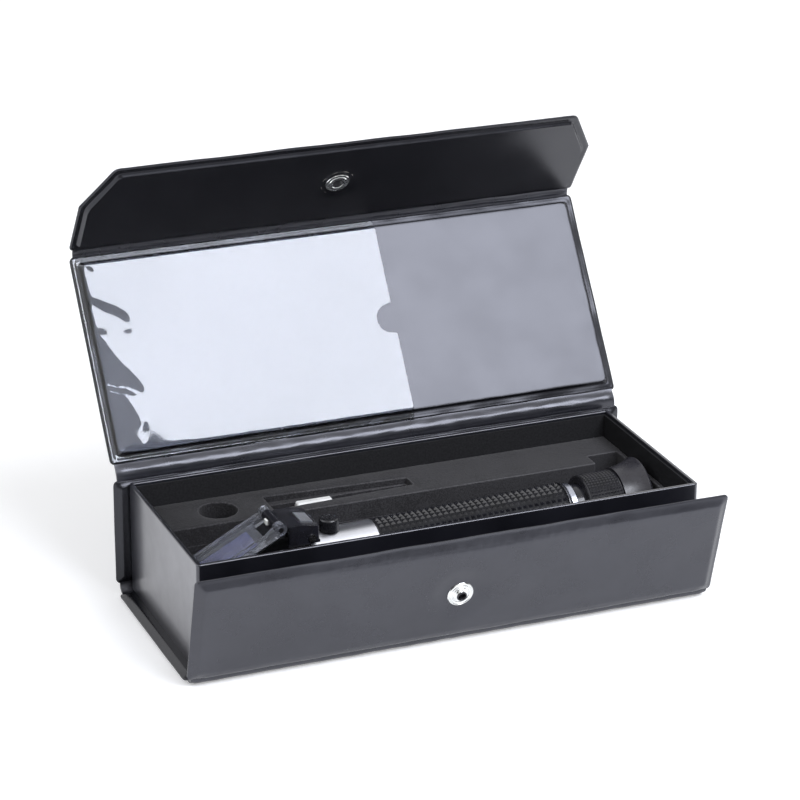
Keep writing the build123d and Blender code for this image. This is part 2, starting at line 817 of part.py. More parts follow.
# Rubber eyecup: a collar on the ring that flares to a soft rim
cup_seat = RING_RIGHT + SEAT_GAP
cup_throat = TUBE_R + 2 * REST_GAP
cup_wall = CUP_R - CUP_MOUTH_R
with BuildPart() as eyecup:
    with BuildSketch(LENGTHWISE):
        with BuildLine():
            Polyline(
                (CUP_RIM - cup_wall / 2, CUP_MOUTH_R),
                (cup_seat + cup_wall, cup_throat),
                (cup_seat, cup_throat),
                (cup_seat, RING_NECK_R + SEAT_GAP),
                (CUP_LEFT, RING_NECK_R + SEAT_GAP),
                (CUP_LEFT, CUP_NECK_R),
            )
            ThreePointArc(
                (CUP_LEFT, CUP_NECK_R),
                ((CUP_LEFT + CUP_RIM) / 2, CUP_NECK_R + (CUP_R - CUP_NECK_R) * CUP_FLARE),
                (CUP_RIM - cup_wall / 2, CUP_R),
            )
            ThreePointArc(
                (CUP_RIM - cup_wall / 2, CUP_R),
                (CUP_RIM, CUP_R - cup_wall / 2),
                (CUP_RIM - cup_wall / 2, CUP_MOUTH_R),
            )
        make_face()
    revolve(axis=OPTIC_AXIS)
save(eyecup, "eyecup")

# Lens cell that slides in the eyepiece tube, with its two lenses and their keeper
cell_outer = TUBE_BORE_R - RUN_GAP
seat_r = LENS_R + SEAT_GAP
field_seat = CELL_LEFT + LENS_T
eye_seat = CELL_RIGHT - LENS_T - KEEPER_T
with BuildPart() as lens_cell:
    turned(
        [
            (CELL_LEFT, seat_r),
            (CELL_LEFT, cell_outer),
            (CELL_RIGHT, cell_outer),
            (CELL_RIGHT, seat_r),
            (eye_seat, seat_r),
            (eye_seat, CELL_BORE_R),
            (field_seat, CELL_BORE_R),
            (field_seat, seat_r),
        ]
    )
save(lens_cell, "lens_cell")
lens("field_lens", CELL_LEFT, LENS_T, LENS_R, LENS_CROWN)
lens("eye_lens", eye_seat, LENS_T, LENS_R, LENS_CROWN)
with BuildPart() as keeper:
    turned(
        [
            (CELL_RIGHT - KEEPER_T, CELL_BORE_R),
            (CELL_RIGHT - KEEPER_T, LENS_R),
            (CELL_RIGHT, LENS_R),
            (CELL_RIGHT, CELL_BORE_R),
        ]
    )
save(keeper, "lens_keeper")

with BuildPart() as reticle:
    turned(
        [
            (TUBE_LEFT - RETICLE_T, 0),
            (TUBE_LEFT - RETICLE_T, BARREL_BORE_R - SEAT_GAP),
            (TUBE_LEFT, BARREL_BORE_R - SEAT_GAP),
            (TUBE_LEFT, 0),
        ]
    )
save(reticle, "reticle_disc")

# Objective in its cell, which the calibration screw shifts
obj_left = CAL_ALONG - OBJ_L / 2
with BuildPart() as objective_cell:
    turned(
        [
            (obj_left, OBJ_LENS_R + SEAT_GAP),
            (obj_left, OBJ_R),
            (obj_left + OBJ_L, OBJ_R),
            (obj_left + OBJ_L, OBJ_LENS_R + SEAT_GAP),
        ]
    )
save(objective_cell, "objective_cell")
lens("objective_lens", CAL_ALONG - OBJ_LENS_T / 2, OBJ_LENS_T, OBJ_LENS_R, LENS_CROWN)

with BuildPart() as bimetal_strip:
    with BuildSketch(level(-OBJ_R - STRIP_T / 2)):
        with Locations((obj_left + OBJ_L + STRIP_GAP + STRIP_L / 2, 0)):
            Rectangle(STRIP_L, STRIP_W)
    extrude(amount=STRIP_T)
save(bimetal_strip, "bimetal_strip")

with BuildPart() as calibration_bush:
    with BuildSketch(level(CAL_BUSH_LOW)):
        with Locations((CAL_ALONG, 0)):
            Circle(CAL_BUSH_R)
            Circle(CAL_SCREW_R + RUN_GAP, mode=Mode.SUBTRACT)
    extrude(amount=CAL_BUSH_TOP - CAL_BUSH_LOW)
save(calibration_bush, "calibration_bush")

screw_top = CAL_BUSH_TOP - CAL_SCREW_DROP
with BuildPart() as calibration_screw:
    with BuildSketch(level(CAL_BUSH_LOW)):
        with Locations((CAL_ALONG, 0)):
            Circle(CAL_SCREW_R)
    extrude(amount=screw_top - CAL_BUSH_LOW)
    with BuildSketch(level(screw_top - CAL_SLOT_DEEP)):
        with Locations((CAL_ALONG, 0)):
            Rectangle(3 * CAL_SCREW_R, TIP_T + 2 * SEAT_GAP)
    extrude(amount=CAL_SLOT_DEEP, mode=Mode.SUBTRACT)
save(calibration_screw, "calibration_screw")

cap_low = BARREL_R + SEAT_GAP
with BuildPart() as calibration_cap:
    with BuildSketch(level(cap_low)):
        with Locations((CAL_ALONG, 0)):
            Circle(CAL_CAP_R)
    extrude(amount=CAL_CAP_TOP - cap_low)
    fillet(calibration_cap.faces().sort_by(Axis.Z)[-1].edges(), radius=CAL_CAP_ROUND)
    with BuildSketch(level(cap_low)):
        with Locations((CAL_ALONG, 0)):
            Circle(CAL_BUSH_R + SEAT_GAP)
    extrude(amount=CAL_BUSH_TOP + REST_GAP - cap_low, mode=Mode.SUBTRACT)
save(calibration_cap, "calibration_cap")


def on_plate(out, up):
    """Side-view point at a distance from the plate's pin down the plate and square to it."""
    return (
        PIN_ALONG - out * cosine(PLATE_ANGLE) - up * sine(PLATE_ANGLE),
        PIN_UP - out * sine(PLATE_ANGLE) + up * cosine(PLATE_ANGLE),
    )


def side_profile(points, low_y, high_y, mode=Mode.ADD):
    """Side-view outline made solid between two distances behind the instrument's axis."""
    plane = Plane(origin=on_body(0, 0, high_y), x_dir=ALONG, z_dir=(0, -1, 0))
    with BuildSketch(plane) as outline:
        with BuildLine():
            Polyline(*points, close=True)
        make_face()
    extrude(outline.sketch, amount=high_y - low_y, mode=mode)


# Prism under the plate
prism_top = PLATE_LOW - PRISM_GAP
prism_end = PRISM_START + PRISM_L
prism_low = prism_top - PRISM_DEEP
with BuildPart() as prism:
    side_profile(
        [
            on_plate(PRISM_START, prism_top),
            on_plate(prism_end, prism_top),
            on_plate(prism_end - PRISM_DRAFT, prism_low),
            on_plate(PRISM_START + PRISM_DRAFT, prism_low),
        ],
        -PRISM_HALF_W,
        PRISM_HALF_W,
    )
save(prism, "prism")

# Head: wedge-nosed housing with the prism's pocket, the light bore and a spigot into the barrel
slope_top = PLATE_LOW - SEAT_DROP
prism_fit = SEAT_GAP
pocket_top = prism_top + CUT_PAST
pocket_flare = PRISM_DRAFT / PRISM_DEEP * (pocket_top - prism_low) + prism_fit
nose = on_plate(PLATE_L + NOSE_PAST, slope_top)
shoulder = on_plate(SHOULDER_OUT, slope_top)
with BuildPart() as prism_housing:
    side_profile(
        [
            (BARREL_LEFT - SEAT_GAP, HEAD_BOTTOM),
            (BARREL_LEFT - SEAT_GAP, HEAD_TOP),
            (HEAD_STEP, HEAD_TOP),
            (HEAD_STEP, shoulder[1]),
            shoulder,
            nose,
            (HEAD_LEFT, nose[1] - NOSE_EDGE),
            (HEAD_LEFT, HEAD_BOTTOM),
        ],
        -HEAD_HALF_W,
        HEAD_HALF_W,
    )
    fillet(
        prism_housing.edges().filter_by(Axis(on_body(0), ALONG)).group_by(Axis.Z)[0],
        radius=HEAD_ROUND,
    )
    with BuildSketch(across(BARREL_LEFT - SEAT_GAP)):
        Circle(BARREL_BORE_R - SEAT_GAP)
    extrude(amount=SPIGOT_L)
    side_profile(
        [
            on_plate(PRISM_START + PRISM_DRAFT - pocket_flare, pocket_top),
            on_plate(prism_end - PRISM_DRAFT + pocket_flare, pocket_top),
            on_plate(prism_end - PRISM_DRAFT + prism_fit, prism_low - prism_fit),
            on_plate(PRISM_START + PRISM_DRAFT - prism_fit, prism_low - prism_fit),
        ],
        -PRISM_HALF_W - prism_fit,
        PRISM_HALF_W + prism_fit,
        mode=Mode.SUBTRACT,
    )
    bore_left = on_plate(PRISM_START + PRISM_DRAFT, prism_low)[0] - CUT_PAST
    with BuildSketch(across(bore_left)):
        Circle(HEAD_BORE_R)
    extrude(amount=BARREL_LEFT + SPIGOT_L + CUT_PAST - bore_left, mode=Mode.SUBTRACT)
save(prism_housing, "prism_housing")

# Clear daylight plate: slab, two ribs and two ears on the pin
plate_top = PLATE_LOW + PLATE_T
with BuildPart() as daylight_plate:
    side_profile(
        [
            on_plate(EAR_NOTCH, PLATE_LOW),
            on_plate(PLATE_L, PLATE_LOW),
            on_plate(PLATE_L, plate_top),
            on_plate(EAR_NOTCH, plate_top),
        ],
        -PLATE_HALF_W,
        PLATE_HALF_W,
    )
    for side in (-1, 1):
        outer = side * PLATE_HALF_W
        rib_inner = side * (PLATE_HALF_W - RIB_W)
        ear_inner = side * (PLATE_HALF_W - EAR_W)
        side_profile(
            [
                on_plate(EAR_R, PLATE_LOW),
                on_plate(PLATE_L, PLATE_LOW),
                on_plate(PLATE_L, plate_top),
                on_plate(PLATE_L - RIB_BEVEL, RIB_TOP),
                on_plate(EAR_R, RIB_TOP),
            ],
            min(outer, rib_inner),
            max(outer, rib_inner),
        )
        side_profile(
            [
                on_plate(0, PLATE_LOW),
                on_plate(EAR_NOTCH + EAR_ROOT, PLATE_LOW),
                on_plate(EAR_NOTCH + EAR_ROOT, plate_top),
                on_plate(EAR_R, RIB_TOP),
                on_plate(0, RIB_TOP),
            ],
            min(outer, ear_inner),
            max(outer, ear_inner),
        )
        ear_plane = Plane(
            origin=on_body(PIN_ALONG, PIN_UP, max(outer, ear_inner)), x_dir=ALONG, z_dir=(0, -1, 0)
        )
        with BuildSketch(ear_plane):
            Circle(EAR_R)
        extrude(amount=EAR_W)
        with BuildSketch(ear_plane):
            Circle(PIN_R + RUN_GAP)
        extrude(amount=EAR_W, mode=Mode.SUBTRACT)
save(daylight_plate, "daylight_plate")

pin_plane = Plane(
    origin=on_body(PIN_ALONG, PIN_UP, PLATE_HALF_W), x_dir=ALONG, z_dir=(0, -1, 0)
)
with BuildPart() as hinge_pin:
    with BuildSketch(pin_plane):
        Circle(PIN_R)
    extrude(amount=2 * PLATE_HALF_W)
save(hinge_pin, "hinge_pin")

# Lamp housing: a cap over its sole, with a lug for the pin between the plate's ears
sole_top = SOLE_LOW + SOLE_T
lamp_end_top = LAMP_TOP - LAMP_DROP
chip_back = PIN_ALONG - PIN_R - CHIP_SEAT
chip_face = PIN_ALONG - LUG_R - CHIP_PROUD
chip_half_h = CHIP_H / 2
chip_half_w = CHIP_W / 2
button_right = BUTTON_LEFT + BUTTON_L


def roof(along):
    """Height of the lamp housing's outside at a distance along the axis."""
    share = max(0.0, along - LAMP_SLOPE_START) / (LAMP_RIGHT - LAMP_SLOPE_START)
    return LAMP_TOP - LAMP_DROP * share


def on_level(up, along_low, along_high, y_low, y_high, thick, mode=Mode.ADD):
    """Block over a rectangle of the plane at one height above the axis."""
    with BuildSketch(level(up)) as outline:
        with Locations(((along_low + along_high) / 2, (y_low + y_high) / 2)):
            Rectangle(along_high - along_low, y_high - y_low)
    extrude(outline.sketch, amount=thick, mode=mode)


with BuildPart() as led_housing:
    side_profile(
        [
            (LAMP_LEFT, sole_top),
            (LAMP_RIGHT, sole_top),
            (LAMP_RIGHT, lamp_end_top),
            (LAMP_SLOPE_START, LAMP_TOP),
            (LAMP_LEFT, LAMP_TOP),
        ],
        -LAMP_HALF_W,
        LAMP_HALF_W,
    )
    fillet(led_housing.edges().filter_by(Axis(on_body(0), UPWARD)), radius=LAMP_ROUND)
    side_profile(
        [
            (LAMP_LEFT + LAMP_WALL, sole_top),
            (LAMP_RIGHT - LAMP_WALL, sole_top),
            (LAMP_RIGHT - LAMP_WALL, lamp_end_top - LAMP_WALL),
            (LAMP_SLOPE_START, LAMP_TOP - LAMP_WALL),
            (LAMP_LEFT + LAMP_WALL, LAMP_TOP - LAMP_WALL),
        ],
        -LAMP_HALF_W + LAMP_WALL,
        LAMP_HALF_W - LAMP_WALL,
        mode=Mode.SUBTRACT,
    )
    lug_plane = Plane(
        origin=on_body(PIN_ALONG, PIN_UP, LUG_HALF_W), x_dir=ALONG, z_dir=(0, -1, 0)
    )
    with BuildSketch(lug_plane):
        Circle(LUG_R)
    extrude(amount=2 * LUG_HALF_W)
    side_profile(
        [
            (PIN_ALONG, PIN_UP - LUG_R),
            (LAMP_LEFT + LAMP_WALL / 2, PIN_UP - LUG_R),
            (LAMP_LEFT + LAMP_WALL / 2, LAMP_TOP),
            (PIN_ALONG, PIN_UP + LUG_R),
        ],
        -LUG_HALF_W,
        LUG_HALF_W,
    )
    with BuildSketch(lug_plane):
        Circle(PIN_R)
    extrude(amount=2 * LUG_HALF_W, mode=Mode.SUBTRACT)
    on_level(
        PIN_UP - chip_half_h,
        chip_face - CUT_PAST,
        chip_back,
        -chip_half_w,
        chip_half_w,
        2 * chip_half_h,
        mode=Mode.SUBTRACT,
    )
    on_level(
        sole_top,
        BUTTON_LEFT - BUTTON_GAP,
        button_right + BUTTON_GAP,
        BUTTON_Y - BUTTON_W / 2 - BUTTON_GAP,
        BUTTON_Y + BUTTON_W / 2 + BUTTON_GAP,
        LAMP_TOP,
        mode=Mode.SUBTRACT,
    )
    with BuildSketch(LENGTHWISE):
        with Locations((SCREW_ALONG, SCREW_UP)):
            Circle(SCREW_D / 2 + SEAT_GAP)
    extrude(amount=LAMP_HALF_W * 2, both=True, mode=Mode.SUBTRACT)
save(led_housing, "led_housing")

with BuildPart() as led_chip:
    on_level(
        PIN_UP - chip_half_h, chip_face, chip_back, -chip_half_w, chip_half_w, 2 * chip_half_h
    )
save(led_chip, "led_chip")

# Sole with two tabs that the side screws bite into
tab_outer = LAMP_HALF_W - LAMP_WALL - SEAT_GAP
tab_top = sole_top + CONTACT_T + COIN_T
with BuildPart() as led_sole:
    on_level(SOLE_LOW, LAMP_LEFT, LAMP_RIGHT, -LAMP_HALF_W, LAMP_HALF_W, SOLE_T)
    for side in (-1, 1):
        edges = sorted((side * tab_outer, side * (tab_outer - TAB_T)))
        on_level(
            sole_top, SCREW_ALONG - TAB_L / 2, SCREW_ALONG + TAB_L / 2, *edges, tab_top - sole_top
        )
    with BuildSketch(LENGTHWISE):
        with Locations((SCREW_ALONG, SCREW_UP)):
            Circle(SCREW_D / 2)
    extrude(amount=LAMP_HALF_W * 2, both=True, mode=Mode.SUBTRACT)
save(led_sole, "led_sole")

with BuildPart() as housing_screws:
    for side in (-1, 1):
        direction = (0, side, 0)
        inner = Plane(
            origin=on_body(SCREW_ALONG, SCREW_UP, side * (tab_outer - TAB_T)),
            x_dir=ALONG,
            z_dir=direction,
        )
        with BuildSketch(inner):
            Circle(SCREW_D / 2)
        extrude(amount=LAMP_HALF_W - tab_outer + TAB_T)
        outer_face = Plane(
            origin=on_body(SCREW_ALONG, SCREW_UP, side * LAMP_HALF_W), x_dir=ALONG, z_dir=direction
        )
        with BuildSketch(outer_face):
            Circle(SCREW_HEAD_D / 2)
        extrude(amount=SCREW_HEAD_T)
save(housing_screws, "housing_screws")

# Inside the lamp housing: contact plate, two coin cells and the circuit board
with BuildPart() as battery_contact:
    on_level(
        sole_top,
        COIN_ALONG - COIN_D / 2,
        COIN_ALONG + COIN_D / 2,
        -COIN_APART / 2 - COIN_D / 4,
        COIN_APART / 2 + COIN_D / 4,
        CONTACT_T,
    )
save(battery_contact, "battery_contact")

with BuildPart() as coin_cells:
    for side in (-1, 1):
        with BuildSketch(level(sole_top + CONTACT_T)):
            with Locations((COIN_ALONG, side * COIN_APART / 2)):
                Circle(COIN_D / 2)
        extrude(amount=COIN_T)
save(coin_cells, "coin_cells")

board_low = tab_top
with BuildPart() as circuit_board:
    on_level(
        board_low,
        LAMP_LEFT + LAMP_WALL + BOARD_ROOM,
        LAMP_RIGHT - LAMP_WALL - BOARD_ROOM,
        -LAMP_HALF_W + LAMP_WALL + BOARD_ROOM,
        LAMP_HALF_W - LAMP_WALL - BOARD_ROOM,
        BOARD_T,
    )
save(circuit_board, "circuit_board")

# Push button: a sloping cap through the roof and a flange that keeps it in
button_flange_low = board_low + BOARD_T + BUTTON_TRAVEL + BUTTON_SPARE
button_low_y = BUTTON_Y - BUTTON_W / 2
button_high_y = BUTTON_Y + BUTTON_W / 2
with BuildPart() as led_button:
    side_profile(
        [
            (BUTTON_LEFT, button_flange_low),
            (button_right, button_flange_low),
            (button_right, roof(button_right) + BUTTON_PROUD),
            (BUTTON_LEFT, roof(BUTTON_LEFT) + BUTTON_PROUD),
        ],
        button_low_y,
        button_high_y,
    )
    on_level(
        button_flange_low,
        BUTTON_LEFT - FLANGE_END,
        button_right + BUTTON_GAP,
        button_low_y - FLANGE_SIDE,
        button_high_y + FLANGE_SIDE,
        FLANGE_T,
    )
save(led_button, "led_button")
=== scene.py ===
import math

import bmesh
import bpy
import numpy as np
from mathutils import Matrix, Vector, geometry, noise


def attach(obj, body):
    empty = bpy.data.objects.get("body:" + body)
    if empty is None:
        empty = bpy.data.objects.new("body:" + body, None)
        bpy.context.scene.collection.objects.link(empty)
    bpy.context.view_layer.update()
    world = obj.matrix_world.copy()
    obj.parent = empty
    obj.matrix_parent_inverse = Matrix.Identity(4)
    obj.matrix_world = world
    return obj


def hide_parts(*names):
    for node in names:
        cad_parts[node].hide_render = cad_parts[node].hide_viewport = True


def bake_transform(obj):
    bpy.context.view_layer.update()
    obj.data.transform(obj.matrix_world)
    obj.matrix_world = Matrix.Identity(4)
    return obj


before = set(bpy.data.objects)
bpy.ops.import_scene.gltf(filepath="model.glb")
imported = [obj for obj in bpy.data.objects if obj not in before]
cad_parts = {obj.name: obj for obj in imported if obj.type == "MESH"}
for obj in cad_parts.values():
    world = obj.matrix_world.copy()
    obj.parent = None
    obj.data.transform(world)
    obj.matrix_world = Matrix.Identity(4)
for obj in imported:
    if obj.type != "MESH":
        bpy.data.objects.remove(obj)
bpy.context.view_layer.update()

# A refractometer in its open snap case. Lengths are millimetres in the model's frame, and
# become metres when a mesh is made, where no comment says otherwise. Angles are degrees.
MM = 0.001

# Cover
COVER_X = 212.0
HALF_T = 1.7
SKIN_T = 0.45
WELD_W = 3.5
CORNER_R = 2.0
SHEET_NEAR = 1.6
WEB = 1.8
THINNEST = 0.12
FOLD_X = 209.0
FOLD_T = 0.36
FRONT_Y = -42.0
SPINE_Y = 42.0
LID_HINGE_Z = 50.2
LID_WELD = 4.0
LID_REACH = 88.2
LID_ANGLE = 34.4
FLAP_REACH = 50.0
FLAP_SQUARE = 29.1
FLAP_CUT = 11.2
FLAP_ANGLE = -34.9
FRONT_REACH = 47.3
FRONT_ANGLE = -14.8
FILM_END = 18.5
FILM_T = 0.25
FILM_GAP = 0.32
FILM_INSET = 0.15
FILM_STEP = 0.9
NOTCH_R = 6.0
NOTCH_IN = 1.2
SNAP_X = -1.5
STUD_UP = 22.1
SOCKET_UP = 26.4
STUD_SEAT = 0.9
SOCKET_SEAT = 0.8

# Tray and foam
TRAY_FLOOR_Z = 5.4
FLOOR_Z = 12.0
FOAM_SEAM = 29.5
FOAM_TOP = 37.0
FOAM_X = 195.6
FOAM_Y = 74.6
CHANNEL_W = 31.0
BAY_X = 83.0
BAY_END = 96.0
BAY_W = 47.0
WELL_X = -70.0
WELL_Y = 25.1
WELL_R = 7.5
RECESS_LEFT = -50.0
RECESS_RIGHT = 8.4
RECESS_BACK = 30.8
RECESS_FRONT = 17.8
RECESS_TAPER = 3.0
RECESS_DEEP = 2.6
GROOVE_Y = 24.8
GROOVE_W = 5.4
GROOVE_DEEP = 5.6
GROOVE_IN = 0.8

# Instrument
BODY_Y = -2.2
AXIS_Z = 24.74
TILT = 1.7933
GRIP_LEFT = -17.5
GRIP_RIGHT = 61.5
GRIP_R = 11.3
GRIP_CORE_R = 9.45
GRIP_ROOM = 0.9
STUD_PITCH = 2.45
STUD_HIGH = 0.90
STUD_ROWS = 30
RING_LEFT = 69.0
RING_RIGHT = 86.5
RING_R = 12.5
RING_NECK_R = 11.0
RING_BORE_R = 9.4
KNURL_PITCH = 1.30
KNURL_HIGH = 0.42
KNURL_ROWS = 56
CUP_LEFT = 83.8

# View, lights and floor, in metres and degrees
CAMERA_AT = (-0.42806, -1.02588, 0.53145)
CAMERA_AZIMUTH = 22.369
CAMERA_ELEVATION = -22.051
CAMERA_ROLL = 0.324
LENS = 143.74
FLOOR_SIZE = 9.0
FLOOR_GLOW = 0.35
WORLD_FILL = 0.50
SOFTBOX_AT = (0.48, -0.92, 1.16)
SOFTBOX_SIZE = (1.00, 0.76)
SOFTBOX_RADIANCE = 7.6
FILL_AT = (-1.30, 0.50, 1.30)
FILL_SIZE = (1.20, 1.20)
FILL_RADIANCE = 1.6
LIGHT_TINT = (0.89, 0.92, 1.0)
ROOM_DIM = 0.85
# Painted shade in reflections: how much darker the floor looks to glossy rays far in front, and the
# span along Y over which it darkens.
FLOOR_DIM = 0.68
FLOOR_SHADE_SPAN = (-0.12, -0.30)
LID_MIDDLE = (0.0, 0.067, 0.087)


# Materials

# Bluish tint on the vinyl's reflections: a painted tint that stands in for the bluish cast of the
# room's light.
BLUISH_REFLECTION_TINT = (0.90, 0.91, 1.0, 1.0)


def calculated(tree, operation, first, second):
    """A number worked out from two others, each a plain one or a node's output."""
    made = tree.nodes.new("ShaderNodeMath")
    made.operation = operation
    for socket, value in zip(made.inputs, (first, second)):
        if isinstance(value, float):
            socket.default_value = value
        else:
            tree.links.new(value, socket)
    return made.outputs["Value"]


def product(tree, first, *others):
    """Values multiplied together."""
    for other in others:
        first = calculated(tree, "MULTIPLY", first, other)
    return first


def remainder(tree, share):
    """What a share leaves of 1."""
    return calculated(tree, "SUBTRACT", 1.0, share)


def mapped(tree, value, from_low, from_high, to_low=0.0, to_high=1.0, shape="SMOOTHSTEP"):
    """The value's range mapped to another one, as a soft step or along a straight line."""
    made = tree.nodes.new("ShaderNodeMapRange")
    made.interpolation_type = shape
    limits = {"From Min": from_low, "From Max": from_high, "To Min": to_low, "To Max": to_high}
    for name, limit in limits.items():
        made.inputs[name].default_value = limit
    tree.links.new(value, made.inputs["Value"])
    return made.outputs["Result"]


def seen_rays(tree):
    """1 for camera, glossy and transmission rays, and 0 for the rest."""
    path = tree.nodes.new("ShaderNodeLightPath")
    value = path.outputs["Is Camera Ray"]
    for kind in ("Is Glossy Ray", "Is Transmission Ray"):
        value = calculated(tree, "MAXIMUM", value, path.outputs[kind])
    return value


class Finish:
    """A material whose colour, roughness and relief come from texture nodes."""

    def __init__(self, name, **sockets):
        self.material = bpy.data.materials.new(name)
        self.material.use_nodes = True
        self.tree = self.material.node_tree
        self.shader = self.tree.nodes["Principled BSDF"]
        self.place = self.tree.nodes.new("ShaderNodeTexCoord").outputs["Object"]
        self.relief = None
        for socket, value in sockets.items():
            self.shader.inputs[socket.replace("_", " ")].default_value = value

    def node(self, kind, values=None, **settings):
        made = self.tree.nodes.new(kind)
        for key, value in settings.items():
            setattr(made, key, value)
        for key, value in (values or {}).items():
            made.inputs[key].default_value = value
        return made

    def link(self, start, end):
        self.tree.links.new(start, end)

    def clouds(self, size, detail=3.0, rough=0.55, stretch=None):
        """Cloudy noise whose features have a size in millimetres, stretched along the axes."""
        values = {"Scale": 1.0 / (size * MM), "Detail": detail, "Roughness": rough}
        made = self.node("ShaderNodeTexNoise", values)
        spot = self.place
        if stretch:
            mapping = self.node("ShaderNodeMapping", {"Scale": stretch})
            self.link(spot, mapping.inputs["Vector"])
            spot = mapping.outputs["Vector"]
        self.link(spot, made.inputs["Vector"])
        return made.outputs["Fac"]

    def cells(self, size, feature="F1"):
        """Cell pattern whose cells have a size in millimetres."""
        made = self.node("ShaderNodeTexVoronoi", {"Scale": 1.0 / (size * MM)}, feature=feature)
        self.link(self.place, made.inputs["Vector"])
        return made.outputs["Distance"]

    def axis(self, name):
        """The place along one axis in metres."""
        split = self.node("ShaderNodeSeparateXYZ")
        self.link(self.place, split.inputs["Vector"])
        return split.outputs[name]

    def spread(self, value, low, high, from_low=0.35, from_high=0.65):
        """The value's range mapped to another one."""
        return mapped(self.tree, value, from_low, from_high, low, high, "LINEAR")

    def product(self, *values):
        return product(self.tree, *values)

    def colour(self, value, dark, light, low=0.35, high=0.65):
        """Base colour from dark, where the value is low, to light, where it is high."""
        made = self.node("ShaderNodeMix", data_type="RGBA", clamp_factor=True)
        for socket in made.inputs:
            if socket.type == "RGBA":
                socket.default_value = (*(dark if socket.name == "A" else light), 1.0)
        self.link(self.spread(value, 0.0, 1.0, low, high), made.inputs["Factor"])
        result = next(socket for socket in made.outputs if socket.type == "RGBA")
        self.link(result, self.shader.inputs["Base Color"])

    def gloss(self, value, low, high):
        """Roughness between two limits, by a value."""
        self.link(self.spread(value, low, high), self.shader.inputs["Roughness"])

    def bump(self, value, depth):
        """Relief of a depth in millimetres, added to the relief before it."""
        made = self.node("ShaderNodeBump", {"Strength": 1.0, "Distance": depth * MM})
        self.link(value, made.inputs["Height"])
        if self.relief is not None:
            self.link(self.relief, made.inputs["Normal"])
        self.relief = made.outputs["Normal"]
        self.link(self.relief, self.shader.inputs["Normal"])


def leatherette():
    """Black welded vinyl with a fine grain, slightly uneven gloss and faint rub marks."""
    finish = Finish("leatherette", IOR=1.68, Specular_Tint=BLUISH_REFLECTION_TINT)
    soft = finish.clouds(28.0, 4.0)
    rub = finish.clouds(14.0, 3.0, 0.55, (1.0, 0.35, 1.0))
    worn = finish.product(soft, rub)
    finish.colour(worn, (0.0150, 0.0152, 0.0195), (0.0240, 0.0245, 0.0300), 0.15, 0.38)
    finish.gloss(rub, 0.25, 0.34)
    finish.bump(finish.cells(0.55), 0.006)
    finish.bump(finish.clouds(0.25, 2.0), 0.005)
    finish.bump(finish.clouds(12.0, 2.0), 0.09)
    return finish.material


def inner_leatherette():
    """The same vinyl inside the lid, pressed smoother by the board behind it."""
    finish = Finish("lining_leatherette", IOR=1.54, Specular_Tint=BLUISH_REFLECTION_TINT)
    finish.colour(finish.clouds(35.0), (0.0070, 0.0070, 0.0090), (0.0105, 0.0105, 0.0130))
    finish.gloss(finish.clouds(18.0), 0.22, 0.27)
    finish.bump(finish.cells(0.5), 0.003)
    finish.bump(finish.clouds(22.0, 1.0), 0.03)
    return finish.material


def tray_leatherette():
    """Vinyl covering of the tray's card walls, glossier than the cover's."""
    # Its specular and coat tints are bluish, standing in for the bluish cast of the room's light.
    finish = Finish(
        "tray_leatherette", IOR=1.62, Specular_Tint=BLUISH_REFLECTION_TINT, Coat_Tint=(0.96, 0.96, 1.0, 1.0),
        Coat_Weight=0.7, Coat_Roughness=0.16,
    )
    soft = finish.clouds(24.0, 3.0, 0.5)
    finish.colour(soft, (0.0065, 0.0067, 0.0090), (0.0110, 0.0113, 0.0150))
    finish.gloss(finish.clouds(9.0), 0.28, 0.34)
    finish.bump(finish.cells(0.6), 0.002)
    finish.bump(finish.clouds(20.0, 1.0), 0.06)
    return finish.material


def foam(name, dark, light):
    """Charcoal polyurethane foam with open pores; its colour is painted darker towards the left end
    and lighter towards the right, as painted shade and light.
    """
    finish = Finish(name, Sheen_Weight=0.12, Sheen_Roughness=0.5, Specular_IOR_Level=0.15)
    pores = finish.cells(0.55)
    cloud = finish.clouds(12.0, 6.0, 0.65)
    # Painted light and shade: colour scaled from 0.35 at the left end to 1.75 at the right, as if lit
    # from the right.
    painted_light_gradient = finish.spread(finish.axis("X"), 0.35, 1.75, -0.10, 0.08)
    mixed = finish.product(pores, cloud, painted_light_gradient)
    finish.colour(mixed, dark, light, 0.04, 0.36)
    finish.gloss(cloud, 0.82, 0.98)
    finish.bump(pores, 0.10)
    finish.bump(finish.clouds(0.35), 0.06)
    finish.bump(finish.clouds(6.0), 0.12)
    return finish.material


def clear_film():
    """Soft clear vinyl, with a little haze."""
    finish = Finish("clear_film", IOR=1.54, Transmission_Weight=1.0)
    haze = finish.clouds(60.0, 2.0)
    finish.colour(haze, (0.56, 0.58, 0.62), (0.64, 0.66, 0.70))
    finish.gloss(haze, 0.05, 0.09)
    finish.bump(finish.clouds(45.0, 1.0), 0.05)
    finish.bump(finish.clouds(0.9, 2.0), 0.005)
    return finish.material


def metal(name, dark, light, low, high, brushed=None, depth=0.003, size=3.0):
    """Bare metal with uneven gloss and, where brushed, fine lines."""
    finish = Finish(name, Metallic=1.0)
    finish.colour(finish.clouds(size, 5.0, 0.6), dark, light)
    lines = finish.clouds(0.25, 4.0, 0.6, brushed) if brushed else finish.clouds(0.6)
    finish.gloss(lines, low, high)
    finish.bump(lines, depth)
    return finish.material


def plastic(name, dark, light, low, high, depth=0.008, level=0.5):
    """Moulded plastic or rubber with a fine texture and worn patches."""
    finish = Finish(name, Specular_IOR_Level=level)
    finish.colour(finish.clouds(5.0, 5.0, 0.6), dark, light)
    finish.gloss(finish.clouds(5.0 / 3, 4.0), low, high)
    finish.bump(finish.clouds(0.3, 2.0), depth)
    finish.bump(finish.clouds(5.0, 2.0), depth * 2)
    return finish.material


